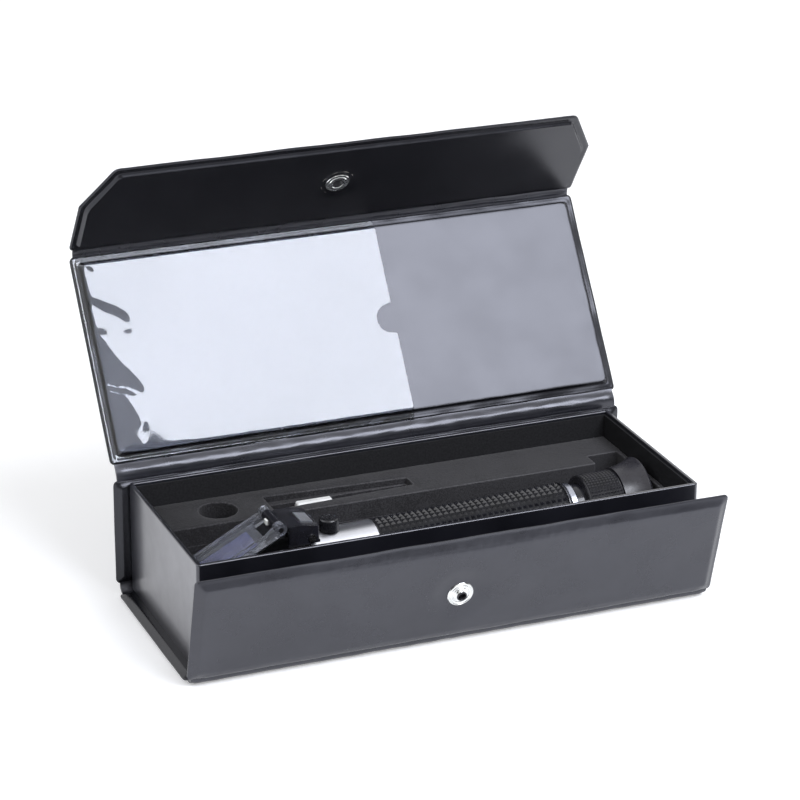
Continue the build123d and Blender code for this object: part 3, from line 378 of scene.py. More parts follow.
def clouded(name, dark, light, low, high, clouds, depth, **sockets):
    """A finish whose colour, gloss and relief all follow one cloudy noise."""
    finish = Finish(name, **sockets)
    cloud = finish.clouds(*clouds)
    finish.colour(cloud, dark, light)
    finish.gloss(cloud, low, high)
    finish.bump(cloud, depth)
    return finish.material


def clear(name, ior, dark, light, low, high, through=1.0):
    """Clear glass or acrylic with faint flow marks, hazy where it is less than fully clear."""
    sockets = {"IOR": ior, "Transmission_Weight": through}
    return clouded(name, dark, light, low, high, (8.0, 2.0), 0.004, **sockets)


def card(name, dark, light):
    """Pressed card with short fibres."""
    fibres = (0.8, 5.0, 0.7, (1.0, 0.3, 1.0))
    return clouded(name, dark, light, 0.75, 0.95, fibres, 0.03, Specular_IOR_Level=0.2)


def circuit_board():
    """Green solder mask over faint copper lines."""
    finish = Finish("board_green")
    tracks = finish.cells(1.4, "DISTANCE_TO_EDGE")
    finish.colour(tracks, (0.020, 0.12, 0.05), (0.008, 0.06, 0.025), 0.02, 0.12)
    finish.gloss(finish.clouds(2.0), 0.25, 0.4)
    finish.bump(tracks, 0.03)
    return finish.material


BLACK = (0.010, 0.010, 0.012)
LENGTHWISE = (0.2, 4.0, 4.0)
record_finishes = (
    leatherette(),
    card("greyboard", (0.22, 0.21, 0.19), (0.34, 0.32, 0.29)),
    card("black_card", (0.008, 0.008, 0.009), (0.022, 0.022, 0.024)),
    foam("foam", (0.010, 0.0095, 0.0105), (0.040, 0.039, 0.042)),
    clear_film(),
    metal("nickel", (0.74, 0.75, 0.74), (0.90, 0.91, 0.90), 0.06, 0.16),
    metal(
        "satin_aluminium", (0.70, 0.71, 0.76), (0.80, 0.81, 0.86), 0.30, 0.36, (4.0, 0.2, 0.2),
        0.001, 9.0,
    ),
    plastic("black_rubber", BLACK, (0.024, 0.024, 0.028), 0.34, 0.52),
    plastic("black_plastic", BLACK, (0.016, 0.016, 0.022), 0.14, 0.24, 0.003),
    metal("black_metal", (0.03, 0.03, 0.033), (0.06, 0.06, 0.065), 0.3, 0.45),
    clear("optical_glass", 1.62, (0.93, 0.94, 1.0), (1.0, 1.0, 1.0), 0.01, 0.03),
    clear("clear_acrylic", 1.49, (0.84, 0.87, 0.98), (0.93, 0.95, 1.0), 0.03, 0.07, 0.94),
    metal("steel", (0.50, 0.50, 0.52), (0.68, 0.68, 0.70), 0.18, 0.3, LENGTHWISE),
    metal("brass", (0.70, 0.52, 0.25), (0.84, 0.64, 0.34), 0.2, 0.34, LENGTHWISE),
    clouded("led_white", (0.80, 0.80, 0.74), (0.95, 0.95, 0.92), 0.25, 0.45, (0.12,), 0.01),
    circuit_board(),
    plastic("white_plastic", (0.72, 0.72, 0.70), (0.84, 0.84, 0.82), 0.25, 0.4),
)
finishes = {made.name.split(".")[0]: made for made in record_finishes}
vinyl = finishes["leatherette"]
nickel = finishes["nickel"]
inner = inner_leatherette()
# Lighter foam on the rounded upper rims of the cuts: a painted highlight along the rims.
painted_rim_highlight = foam("foam_cut_edge", (0.022, 0.021, 0.023), (0.085, 0.083, 0.088))
grip_rubber = plastic("grip_rubber", BLACK, (0.018, 0.018, 0.023), 0.12, 0.22, 0.003, 1.0)
# Matt rubber, darker than the grip's and the ring's: painted shade in the grooves between studs and
# knurls.
matt_painted_groove_shade = plastic("matt_painted_groove_shade", (0.006, 0.006, 0.007), BLACK, 0.55, 0.70, level=0.2)
ring_rubber = plastic("ring_rubber", BLACK, (0.018, 0.017, 0.023), 0.26, 0.38, 0.003, 0.55)
# Dark steel: painted shade inside the stud's hole; the hinge pin and the screwdriver blade are
# darkened with it too.
dark_steel_and_painted_shade = metal("dark_steel_and_painted_shade", (0.045, 0.045, 0.05), (0.10, 0.10, 0.11), 0.35, 0.5)
# Carried-over nodes whose finish differs from their record slot's
special = {
    "tray_box": tray_leatherette(),
    "prism": clear("prism_glass", 1.62, (0.50, 0.50, 1.0), (0.70, 0.70, 1.0), 0.02, 0.05, 0.80),
    "hinge_pin": dark_steel_and_painted_shade,
    "screwdriver_blade": dark_steel_and_painted_shade,
    "led_button": metal("button_silver", (0.84, 0.86, 0.92), (0.92, 0.94, 1.0), 0.34, 0.42),
    "calibration_cap": plastic("glossy_rubber", BLACK, (0.018, 0.018, 0.021), 0.20, 0.32, 0.004),
    "chrome_ring": metal("ring_silver", (0.42, 0.44, 0.50), (0.52, 0.54, 0.62), 0.22, 0.30),
    "eyecup": plastic("cup_rubber", (0.020, 0.019, 0.024), (0.030, 0.029, 0.035), 0.26, 0.38, 0.004),
}
for name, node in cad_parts.items():
    for place in node.material_slots:
        place.material = special.get(name) or finishes[place.material.name.split(".")[0]]


# Meshes


def placed(name, data):
    """A new object with its data, in the scene."""
    made = bpy.data.objects.new(name, data)
    bpy.context.collection.objects.link(made)
    return made


def piece(name, points, faces, finish, body=None, stands_for=(), sharp=35.0):
    """A closed mesh from millimetre points, with its material, its body and what it stands for."""
    mesh = bpy.data.meshes.new(name)
    mesh.from_pydata((np.asarray(points, dtype=float) * MM).tolist(), [], faces)
    work = bmesh.new()
    work.from_mesh(mesh)
    bmesh.ops.recalc_face_normals(work, faces=work.faces)
    work.to_mesh(mesh)
    work.free()
    mesh.polygons.foreach_set("use_smooth", [True] * len(mesh.polygons))
    mesh.set_sharp_from_angle(angle=math.radians(sharp))
    mesh.materials.append(finish)
    made = placed(name, mesh)
    if body:
        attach(made, body)
    if stands_for:
        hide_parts(*stands_for)
    return made


def sine(angle):
    return math.sin(math.radians(angle))


def cosine(angle):
    return math.cos(math.radians(angle))


def smooth(value):
    """Soft step from 0 to 1."""
    value = np.clip(value, 0.0, 1.0)
    return value * value * (3.0 - 2.0 * value)


def ripple(first, second, size, seed):
    """Cloudy noise of about -1 to 1 over two arrays of places."""
    flat = zip(np.ravel(first) / size, np.ravel(second) / size)
    values = [noise.noise(Vector((a, b, seed))) for a, b in flat]
    return np.array(values).reshape(np.shape(first)) * 1.6


class Fold:
    """A panel's plane: its fold line, its upward line and its normal towards side 1."""

    def __init__(self, y, z, lean):
        self.origin = np.array([0.0, y, z])
        self.up = np.array([0.0, sine(lean), cosine(lean)])
        self.normal = np.array([0.0, -cosine(lean), sine(lean)])

    def points(self, along, up, out):
        along, up, out = np.broadcast_arrays(along, up, out)
        across = np.stack([along, np.zeros_like(along), np.zeros_like(along)], axis=-1)
        return self.origin + across + up[..., None] * self.up + out[..., None] * self.normal


BASE = Fold(FRONT_Y, HALF_T, 90.0)
SPINE = Fold(SPINE_Y, HALF_T, 0.0)
LID = Fold(SPINE_Y, LID_HINGE_Z, LID_ANGLE)
FLAP = Fold(
    SPINE_Y + LID_REACH * sine(LID_ANGLE), LID_HINGE_Z + LID_REACH * cosine(LID_ANGLE), FLAP_ANGLE
)
FRONT = Fold(FRONT_Y, HALF_T, FRONT_ANGLE)

BORDER = [0.0, 0.12, 0.4, 0.7, 1.0, 1.6, 2.3, 2.8, 3.1, 3.4, 3.7, 4.1, 4.6, 5.2, 6.0, 7.0]


def stations(length, step, also=()):
    """Places from 0 to a length, close together near both ends."""
    count = max(2, int((length - 2 * BORDER[-1]) / step) + 1)
    middle = np.linspace(BORDER[-1], length - BORDER[-1], count)
    ends = [length - b for b in BORDER]
    return np.array(sorted(set(BORDER) | set(middle[1:-1]) | set(ends) | set(also)))


class Panel:
    """Outline of a cover panel: a rectangle with round corners, or with its far corners cut."""

    def __init__(self, fold, start, end, square=None, droop=0.0):
        self.fold = fold
        self.start = start
        self.end = end
        self.square = square
        self.droop = droop

    def bend(self, depth):
        """How far the panel's border leans away from side 1, by the distance in from its outline."""
        return -self.droop * np.clip(WELD_W - depth, 0.0, None)

    def half_width(self, up):
        half = np.full_like(up, COVER_X / 2)
        if self.square is not None:
            past = np.clip((up - self.square) / (self.end - self.square), 0.0, 1.0)
            half = half - FLAP_CUT * past
        near = np.minimum(up - self.start, self.end - up)
        bite = CORNER_R - np.clip(near, 0.0, CORNER_R)
        return half - (CORNER_R - np.sqrt(CORNER_R**2 - bite**2))

    def inside(self, along, up):
        """Distance in from the outline."""
        sides = [up - self.start, self.end - up, COVER_X / 2 - np.abs(along)]
        if self.square is not None:
            rise = self.end - self.square
            length = math.hypot(rise, FLAP_CUT)
            past = (COVER_X / 2 - np.abs(along)) * rise - (up - self.square) * FLAP_CUT
            sides.append(past / length)
        soft = 0.45
        total = sum(np.exp(-np.clip(s, -2.0, 60.0) / soft) for s in sides)
        rounded = -soft * np.log(total)
        return np.where(rounded > 8.0, np.minimum.reduce(sides), np.maximum(rounded, 0.0))


def sheet_height(depth, puff, weld, rise_over, line):
    """Outside of a welded sheet above the panel's middle, by the distance in from its outline.

    The sheet is flat up to the weld, has a thin ridge and a groove of about a line's height
    there, and rises to the pocket over a width.
    """
    edge = SKIN_T * (1.0 - 0.55 * np.exp(-((depth / 0.3) ** 2)))
    bead = line * np.exp(-(((depth - 0.75) / 0.32) ** 2))
    groove = -line * np.exp(-(((depth - weld + 0.35) / 0.30) ** 2))
    rise = (HALF_T - SKIN_T) * smooth((depth - weld + 0.1) / rise_over)
    crown = puff * (1.0 - np.exp(-np.clip(depth - weld, 0.0, None) / 9.0))
    return edge + bead + groove + rise + crown


def dent(along, up, centre, radius, depth, soft):
    """Round dent, full depth inside the radius and fading out over a soft width."""
    away = np.hypot(along - centre[0], up - centre[1])
    return -depth * (1.0 - smooth((away - radius) / soft))


def grid_faces(rows, columns):
    """Faces of a grid of points, and its border as one loop."""
    index = np.arange(rows * columns).reshape(rows, columns)
    corners = (index[:-1, :-1], index[:-1, 1:], index[1:, 1:], index[1:, :-1])
    faces = np.stack(corners, axis=-1).reshape(-1, 4).tolist()
    border = np.concatenate([index[0], index[1:, -1], index[-1, -2::-1], index[-2:0:-1, 0]])
    return faces, border.tolist()


def closed_sheet(top, back, flat_back=False):
    """Points and faces of a closed sheet between two grids, its back one face where it is flat."""
    faces, border = grid_faces(*top.shape[:2])
    points = top.reshape(-1, 3)
    under = back.reshape(-1, 3)
    first = len(points)
    if flat_back:
        under = under[border]
        lower = list(range(first, first + len(border)))
        faces.append(lower)
    else:
        lower = [first + spot for spot in border]
        faces += [[first + spot for spot in reversed(face)] for face in faces]
    for k in range(len(border)):
        faces.append((border[k - 1], border[k], lower[k], lower[k - 1]))
    return np.concatenate([points, under]), faces


def sheet_piece(name, panel, side, body, finish, step, puff, weld, rise_over, line, seed, relief=None):
    """One welded sheet of a panel as a dense mesh, with its border, seam and soft pocket."""
    also = () if panel.square is None else (panel.square - panel.start,)
    up = panel.start + stations(panel.end - panel.start, step, also)
    share = stations(COVER_X, step) / (COVER_X / 2) - 1.0
    ups = np.repeat(up[:, None], len(share), axis=1)
    along = share[None, :] * panel.half_width(ups)
    depth = panel.inside(along, ups)
    out = sheet_height(depth, puff, weld, rise_over, line)
    pocket = smooth((depth - WELD_W) / 4.0)
    out = out + pocket * 0.10 * ripple(along, ups, 24.0, seed)
    out = out + (1.0 - pocket) * 0.035 * ripple(along, ups, 2.6, seed + 3.0)
    if relief is not None:
        out = out + relief(along, ups, depth)
    out = np.maximum(out, THINNEST)
    sway = (1.0 - smooth(depth / 3.0)) * 0.18 * ripple(along, ups, 14.0, panel.start)
    sway = sway + panel.bend(depth)
    top = panel.fold.points(along, ups, side * out + sway)
    back = panel.fold.points(along, ups, sway)
    points, faces = closed_sheet(top, back, flat_back=True)
    piece(name + "_sheet", points, faces, finish, body, (name,))


def front_relief(along, up, depth):
    """Shallow dent round the stud, and fine gathers under the front panel's upper border.

    The gathers are strongest over the middle of the panel, where the border also rolls furthest.
    The sheet is fuller along the lower border, except near its ends.
    """
    pocket = HALF_T - SKIN_T
    from_top = FRONT_REACH - up
    middle = np.exp(-((((along + 8.0) / 70.0) ** 2) ** 2))
    gather = np.exp(-(((from_top - 3.4) / 2.2) ** 2)) * (0.3 + 0.7 * middle)
    folds = 0.13 * gather * ripple(along, up * 0.25, 1.25, 21.0)
    even = np.clip((from_top - 0.4) / 4.8, 0.0, 1.0)
    excess = np.clip(smooth((from_top - 0.4) / 3.8) - even, 0.0, 1.0)
    roll = -pocket * middle * excess - 0.45 * middle * (1.0 - smooth(from_top / 8.0))
    waves = 0.25 * smooth(depth / 14.0) * ripple(along * 0.7, up + along * 0.35, 26.0, 23.0)
    from_low = up - SHEET_NEAR
    inner_ends = smooth((COVER_X / 2 - np.abs(along)) / 8.0)
    fuller = np.clip(smooth(from_low / 1.4) - smooth((from_low - 0.4) / 3.8), 0.0, 1.0)
    fuller = 0.9 * pocket * inner_ends * fuller
    return folds + roll + fuller + waves + dent(along, up, (SNAP_X, STUD_UP), 5.4, 0.75, 8.0)


def flap_relief(along, up, depth):
    """Dent round the socket, in a lining that lies lower away from its border."""
    round_socket = dent(along, up, (SNAP_X, SOCKET_UP), 5.6, 0.95, 2.6)
    return np.minimum(round_socket, -0.16 * smooth(depth / 8.0))


near = SHEET_NEAR + WEB
base_panel = Panel(BASE, near, SPINE_Y - FRONT_Y - near)
spine_panel = Panel(SPINE, near, LID_HINGE_Z - HALF_T - SHEET_NEAR - WEB / 2)
lid_panel = Panel(LID, LID_WELD, LID_REACH - SHEET_NEAR, droop=0.20)
flap_panel = Panel(FLAP, SHEET_NEAR, FLAP_REACH, FLAP_SQUARE, droop=0.06)
front_panel = Panel(FRONT, SHEET_NEAR, FRONT_REACH, droop=0.11)
sheet_piece("base_lining", base_panel, 1, "case", inner, 6.0, 0.0, 0.3, 3.0, 0.0, 11.0)
sheet_piece("base_outer_skin", base_panel, -1, "case", vinyl, 6.0, 0.0, 0.3, 3.0, 0.0, 12.0)
sheet_piece("spine_lining", spine_panel, 1, "case", inner, 4.0, 0.0, 0.3, 3.0, 0.0, 13.0)
sheet_piece("spine_outer_skin", spine_panel, -1, "case", vinyl, 2.5, 0.25, 3.0, 2.6, 0.08, 14.0)
sheet_piece("lid_lining", lid_panel, 1, "lid", inner, 2.0, 0.0, 3.2, 0.7, 0.09, 15.0)
sheet_piece("lid_outer_skin", lid_panel, -1, "lid", vinyl, 2.0, 0.35, 3.0, 2.6, 0.08, 16.0)
sheet_piece("flap_lining", flap_panel, 1, "flap", inner, 1.8, 0.1, 2.6, 0.9, 0.07, 17.0, flap_relief)
sheet_piece("flap_outer_skin", flap_panel, -1, "flap", vinyl, 2.0, 0.3, 3.0, 2.6, 0.08, 18.0)
sheet_piece(
    "front_outer_skin", front_panel, 1, "front_panel", vinyl, 0.8, 0.45, 0.5, 3.8, 0.0, 19.0,
    front_relief,
)
sheet_piece("front_lining", front_panel, -1, "front_panel", inner, 3.0, 0.0, 3.0, 1.8, 0.05, 20.0)


# Folds


def fold_piece(name, first, first_up, second, second_up, bodies, seed, low=(0.0, 0.0)):
    """Doubled sheet that bends from one panel's edge to the next one's and swells between them.

    Where a panel's border droops, its end lies that much lower.
    """
    start = first.origin + first_up * first.up - low[0] * first.normal
    end = second.origin + second_up * second.up - low[1] * second.normal
    rows = 14
    reach = np.linalg.norm(end - start) * 0.42
    handle_a = start + first.up * reach
    handle_b = end - second.up * reach
    share = np.linspace(0.0, 1.0, rows)[:, None]
    line = (
        (1 - share) ** 3 * start
        + 3 * (1 - share) ** 2 * share * handle_a
        + 3 * (1 - share) * share**2 * handle_b
        + share**3 * end
    )
    heading = np.gradient(line, axis=0)
    heading /= np.linalg.norm(heading, axis=1)[:, None]
    normal = np.stack([np.zeros(rows), -heading[:, 2], heading[:, 1]], axis=1)
    swell = 0.75 * np.sin(np.pi * share) ** 1.5
    along = np.linspace(-FOLD_X / 2, FOLD_X / 2, 190)
    taper = smooth((FOLD_X / 2 - np.abs(along)) / 2.5)
    grids = []
    for side in (1, -1):
        spots = np.broadcast_arrays(along[None, :], share * 9.0)
        rough = ripple(spots[0] * 0.6, spots[1], 4.5, seed + side) * 0.6
        rough = rough + ripple(spots[0] * 0.35, spots[1] * 2.0, 2.2, seed + 5 * side) * 0.4
        thick = FOLD_T + swell * (0.35 + 0.65 * taper[None, :])
        thick = thick * (1.0 + 0.20 * rough * np.sin(np.pi * share))
        grid = line[:, None, :] + side * thick[..., None] * normal[:, None, :]
        grids.append(grid + along[None, :, None] * np.array([1.0, 0.0, 0.0]))
    points, faces = closed_sheet(*grids)
    riding = bodies[0] if len(bodies) == 1 else None
    made = piece(name + "_sheet", points, faces, vinyl, riding, (name,), 60.0)
    if len(bodies) == 2:
        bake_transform(made)


BASE_BACK = Fold(SPINE_Y, HALF_T, 90.0)
BASE_FRONT = Fold(FRONT_Y, HALF_T, -90.0)
TUCK = 0.5
front_low, lid_low, flap_low = (
    panel.droop * (WELD_W - TUCK) for panel in (front_panel, lid_panel, flap_panel)
)
fold_piece(
    "front_hinge_strip", BASE_FRONT, -near - TUCK, FRONT, SHEET_NEAR + TUCK,
    ("case", "front_panel"), 31.0, (0.0, front_low),
)
fold_piece("spine_fold_strip", BASE_BACK, -near - TUCK, SPINE, near + TUCK, ("case",), 32.0)
fold_piece(
    "lid_hinge_strip", SPINE, spine_panel.end - TUCK, LID, LID_WELD + TUCK,
    ("case", "lid"), 33.0, (0.0, lid_low),
)
fold_piece(
    "flap_hinge_strip", LID, lid_panel.end - TUCK, FLAP, SHEET_NEAR + TUCK,
    ("lid", "flap"), 34.0, (lid_low, flap_low),
)


# Pocket film

# Patches where the film hangs at a steeper slope, as outlines on the lid with the slope's
# heading in degrees from the lid's length
CREASES = (
    ([(-101.9, 82.7), (-98.3, 81.8), (-97.0, 79.8), (-98.4, 78.5), (-100.5, 79.5)], 50.0),
    (
        [(-103.0, 70.7), (-97.0, 68.3), (-88.6, 62.7), (-86.9, 59.0), (-88.9, 56.2), (-92.8, 59.3),
         (-98.5, 63.0), (-102.4, 67.4)],
        47.0,
    ),
    (
        [(-102.6, 54.7), (-99.2, 52.1), (-95.8, 44.7), (-90.3, 37.0), (-87.4, 30.6), (-89.8, 29.8),
         (-94.6, 33.1), (-96.8, 32.4), (-100.9, 34.0), (-103.0, 40.7), (-103.4, 48.7)],
        32.0,
    ),
    (
        [(-102.6, 32.6), (-96.6, 30.9), (-93.7, 25.6), (-91.4, 18.3), (-93.9, 13.7), (-92.2, 8.6),
         (-97.5, 6.9), (-103.6, 6.5), (-103.6, 28.9)],
        22.0,
    ),
)
CREASE_SLOPE = 0.185
CREASE_HOLD = 90.0
RELAX_ROUNDS = 600
OVERSHOOT = 1.9
FILM_LIFT = 0.18


def depth_inside(along, up, outline):
    """Distance to a closed outline, above 0 inside it."""
    nearest = np.full(along.shape, 1e6)
    inside = np.zeros(along.shape, dtype=bool)
    for start, end in zip(outline, outline[1:] + outline[:1]):
        run = np.array(end) - np.array(start)
        on = ((along - start[0]) * run[0] + (up - start[1]) * run[1]) / (run @ run)
        on = np.clip(on, 0.0, 1.0)
        away = np.hypot(along - start[0] - on * run[0], up - start[1] - on * run[1])
        nearest = np.minimum(nearest, away)
        if start[1] != end[1]:
            at = start[0] + (up - start[1]) * run[0] / run[1]
            inside ^= ((start[1] > up) != (end[1] > up)) & (along < at)
    return np.where(inside, nearest, -nearest)


def relaxed(along, up, slope_along, slope_up, hold, pinned):
    """Heights whose slopes come nearest to the wanted ones, most of all where hold is high."""
    every, low, high = slice(None), slice(None, -1), slice(1, None)
    ways = (
        ((every, low), (every, high), along, np.gradient(up, axis=0), slope_along),
        (low, high, up, np.gradient(along, axis=1), slope_up),
    )
    weight = np.zeros(along.shape)
    fixed = np.zeros(along.shape)
    links = []
    for before, after, place, cell, slope in ways:
        step = place[after] - place[before]
        pull = (hold[after] + hold[before]) / 2 * (cell[after] + cell[before]) / 2 / step
        push = pull * ((slope[after] + slope[before]) / 2 * step)
        weight[after] += pull
        weight[before] += pull
        fixed[after] += push
        fixed[before] -= push
        links.append((before, after, pull))
    height = np.zeros(along.shape)
    rows, columns = np.indices(along.shape)
    turns = [((rows + columns) % 2 == parity) & ~pinned for parity in (0, 1)]
    for _ in range(RELAX_ROUNDS):
        for chosen in turns:
            total = fixed.copy()
            for before, after, pull in links:
                total[after] += pull * height[before]
                total[before] += pull * height[after]
            height = np.where(chosen, height + OVERSHOOT * (total / weight - height), height)
    return height


def hanging(along, up, depth):
    """Height of the slack film over its tight shape, with its creases along the left weld."""
    slope_along = np.zeros(along.shape)
    slope_up = np.zeros(along.shape)
    hold = np.ones(along.shape)
    ragged = 0.30 * ripple(along, up, 1.5, 43.0) + 0.35 * ripple(along, up, 6.0, 44.0)
    uneven = 1.0 + 0.30 * ripple(along, up, 7.0, 45.0)
    for outline, heading in CREASES:
        share = smooth((depth_inside(along, up, outline) + ragged + 0.5) / 1.1)
        slope_along += CREASE_SLOPE * share * uneven * cosine(heading)
        slope_up += CREASE_SLOPE * share * uneven * sine(heading)
        hold += CREASE_HOLD * share
    return relaxed(along, up, slope_along, slope_up, hold, depth < WELD_W - 0.3)


def film_height(along, up):
    """Outside of the film above the lid's middle."""
    depth = lid_panel.inside(np.minimum(along, 0.0), up)
    low = sheet_height(depth, 0.0, 3.2, 0.9, 0.09) + FILM_GAP + lid_panel.bend(depth)
    slack = smooth((depth - WELD_W) / 9.0)
    waves = 0.10 * ripple(along, up, 60.0, 41.0) + 0.012 * ripple(along, up, 18.0, 42.0)
    ragged = 1.0 + 0.45 * ripple(along, up, 1.3, 46.0) + 0.25 * ripple(along, up, 6.0, 47.0)
    from_left = along + COVER_X / 2 - WELD_W
    low_width = 1.0 + 1.9 * np.exp(-np.clip(from_left, 0.0, None) / 26.0)
    from_low = (up - LID_WELD - WELD_W) / low_width
    lifted = smooth(np.minimum(from_low / np.clip(ragged, 0.3, None), depth - WELD_W))
    lip = 0.08 * np.exp(-((FILM_END - along) / 1.5) ** 2)
    return low + slack * waves + FILM_LIFT * lifted + hanging(along, up, depth) + lip


film_up = lid_panel.start + stations(lid_panel.end - lid_panel.start, FILM_STEP)
film_share = stations(FILM_END + COVER_X / 2, FILM_STEP) / (FILM_END + COVER_X / 2)
film_ups = np.repeat(film_up[:, None], len(film_share), axis=1)
film_middle = (lid_panel.start + lid_panel.end) / 2
from_notch = np.clip(np.abs(film_ups - film_middle), 0.0, NOTCH_R)
notch = np.where(
    np.abs(film_ups - film_middle) < NOTCH_R,
    NOTCH_IN * smooth((NOTCH_R - from_notch) / 0.6) + np.sqrt(NOTCH_R**2 - from_notch**2),
    0.0,
)
film_left = -lid_panel.half_width(film_ups) + FILM_INSET
film_along = film_left + film_share[None, :] * (FILM_END - notch - film_left)
film_out = film_height(film_along, film_ups)
film_points, film_faces = closed_sheet(
    *(LID.points(film_along, film_ups, film_out - under) for under in (0.0, FILM_T))
)
piece(
    "pocket_film_sheet", film_points, film_faces, finishes["clear_film"], "lid",
    ("pocket_film",), 50.0,
)


# Foam


def loop_points(corners, radii, step=1.6):
    """Points along a closed outline, its corners rounded, at about one step apart."""
    corners = np.array(corners, dtype=float)
    points = []
    for k, here in enumerate(corners):
        after = (k + 1) % len(corners)
        back = (corners[k - 1] - here) / np.linalg.norm(corners[k - 1] - here)
        ahead = (corners[after] - here) / np.linalg.norm(corners[after] - here)
        start = here + back * radii[k]
        end = here + ahead * radii[k]
        for share in (0.0, 0.25, 0.5, 0.75, 1.0):
            middle = 2 * share * (1 - share) * here
            points.append((1 - share) ** 2 * start + middle + share**2 * end)
        stop = corners[after] - ahead * radii[after]
        cuts = int(np.linalg.norm(stop - end) / step)
        points += [end + (stop - end) * cut / cuts for cut in range(1, cuts)]
    return np.array(points)


def inward(loop, solid_inside):
    """Unit lines into the foam from each point of a closed loop."""
    ahead = np.roll(loop, -1, axis=0) - np.roll(loop, 1, axis=0)
    ahead /= np.linalg.norm(ahead, axis=1)[:, None]
    left = np.stack([-ahead[:, 1], ahead[:, 0]], axis=1)
    area = np.sum(loop[:, 0] * np.roll(loop[:, 1], -1) - np.roll(loop[:, 0], -1) * loop[:, 1])
    return left if (area > 0) == solid_inside else -left


def contains(ring, spot):
    """Whether a spot lies inside a closed ring."""
    x, y = spot[0], spot[1]
    x0, y0 = ring[:, 0], ring[:, 1]
    x1, y1 = np.roll(x0, -1), np.roll(y0, -1)
    crosses = (y0 > y) != (y1 > y)
    with np.errstate(divide="ignore", invalid="ignore"):
        at = x0 + (y - y0) * (x1 - x0) / (y1 - y0)
    return bool(np.count_nonzero(crosses & (x < at)) % 2)


def in_foam(spot, ring, hollow):
    """Whether a spot is inside the ring and outside the hollows."""
    return contains(ring, spot) and not any(contains(h, spot) for h in hollow)


def clear_of(spot, loops, room):
    """Whether a spot keeps some room from the points of every loop."""
    return all(np.min(np.hypot(*(loop - spot).T)) >= room for loop in loops)


def cut_foam(name, outline, holes, low, high, seed, pockets=()):
    """Foam slab with vertical knife cuts: soft edges, uneven walls and a slightly wavy top.

    A pocket is a loop with a floor of its own, at a height inside the slab.
    """
    soft_edge = [(0.05, 0.5), (0.14, 0.85), (0.38, 1.0)]
    edge = 0.45
    grid = 3.0
    points, faces, rims = [], [], []

    def add(ring, heights):
        first = len(points)
        points.extend(zip(ring[:, 0], ring[:, 1], np.broadcast_to(heights, len(ring))))
        return list(range(first, len(points)))

    def wall(loop, solid_inside, bottom, top):
        """A wall with a soft upper edge. Returns the lowest and the highest ring."""
        into = inward(loop, solid_inside)
        levels = np.linspace(bottom, top - edge, max(2, int((top - bottom) / 2.2)))
        made = []
        for level in levels:
            shift = 0.10 * ripple(loop[:, 0], loop[:, 1] + level * 0.7, 3.5, seed)
            fade = 0.0 if level == levels[0] else 1.0
            made.append(add(loop + into * (np.abs(shift) * fade)[:, None], level))
        for inset, rise in soft_edge:
            uneven = 0.05 * ripple(loop[:, 0], loop[:, 1], 4.0, seed + 2.0)
            made.append(add(loop + into * inset, top - edge + rise * edge + uneven * rise))
        for number, (lower, upper) in enumerate(zip(made[:-1], made[1:])):
            for k in range(len(lower)):
                # Faces of the soft upper edge, which later get the lighter foam as a painted rim
                # highlight.
                if number >= len(levels) - 1:
                    rims.append(len(faces))
                faces.append((lower[k - 1], lower[k], upper[k], upper[k - 1]))
        return made[0], made[-1]

    def fill(outer, inner, level, wavy=True):
        """A flat face inside one ring and outside others, with a grid of points in it."""
        loops = [outer] + inner
        source = [i for loop in loops for i in loop]
        flat = [Vector(points[i][:2]) for i in source]
        edges, first = [], 0
        for loop in loops:
            edges += [(first + k, first + (k + 1) % len(loop)) for k in range(len(loop))]
            first += len(loop)
        ring, *hollow = [np.array([points[i][:2] for i in loop]) for loop in loops]
        if wavy:
            xs, ys = (
                np.arange(ring[:, k].min() + grid / 2, ring[:, k].max(), grid) for k in (0, 1)
            )
            for spot in [(x, y) for x in xs for y in ys]:
                if in_foam(spot, ring, hollow) and clear_of(spot, [ring] + hollow, grid * 0.4):
                    flat.append(Vector(spot))
        found = geometry.delaunay_2d_cdt(flat, edges, [], 1, 1e-5)
        verts, tris, origin = found[0], found[2], found[3]
        mapping = []
        for k, vert in enumerate(verts):
            old = [o for o in origin[k] if o < len(source)]
            if old:
                mapping.append(source[old[0]])
                continue
            bulge = 0.12 * noise.noise(Vector((vert.x / 11.0, vert.y / 11.0, seed))) if wavy else 0.0
            mapping.append(len(points))
            points.append((vert.x, vert.y, level + bulge))
        for tri in tris:
            middle = sum((verts[i] for i in tri), Vector((0.0, 0.0))) / 3
            if in_foam(middle, ring, hollow):
                faces.append(tuple(mapping[i] for i in tri))

    bottom_outer, top_outer = wall(outline, True, low, high)
    bottoms, tops = [], []
    for hole in holes:
        bottom, top = wall(hole, False, low, high)
        bottoms.append(bottom)
        tops.append(top)
    for loop, floor, inner in pockets:
        bottom, top = wall(loop, False, floor, high)
        tops.append(top)
        inner_bottoms = []
        for inner_loop, inner_floor in inner:
            deep, shallow = wall(inner_loop, False, inner_floor, floor)
            fill(deep, [], inner_floor)
            inner_bottoms.append(shallow)
        fill(bottom, inner_bottoms, floor)
    fill(top_outer, tops, high)
    fill(bottom_outer, bottoms, low, False)
    made = piece(name + "_cut", points, faces, finishes["foam"], "case", (name,), 70.0)
    # The soft upper edge faces get the lighter foam, a painted highlight along the rims.
    made.data.materials.append(painted_rim_highlight)
    for rim in rims:
        made.data.polygons[rim].material_index = 1


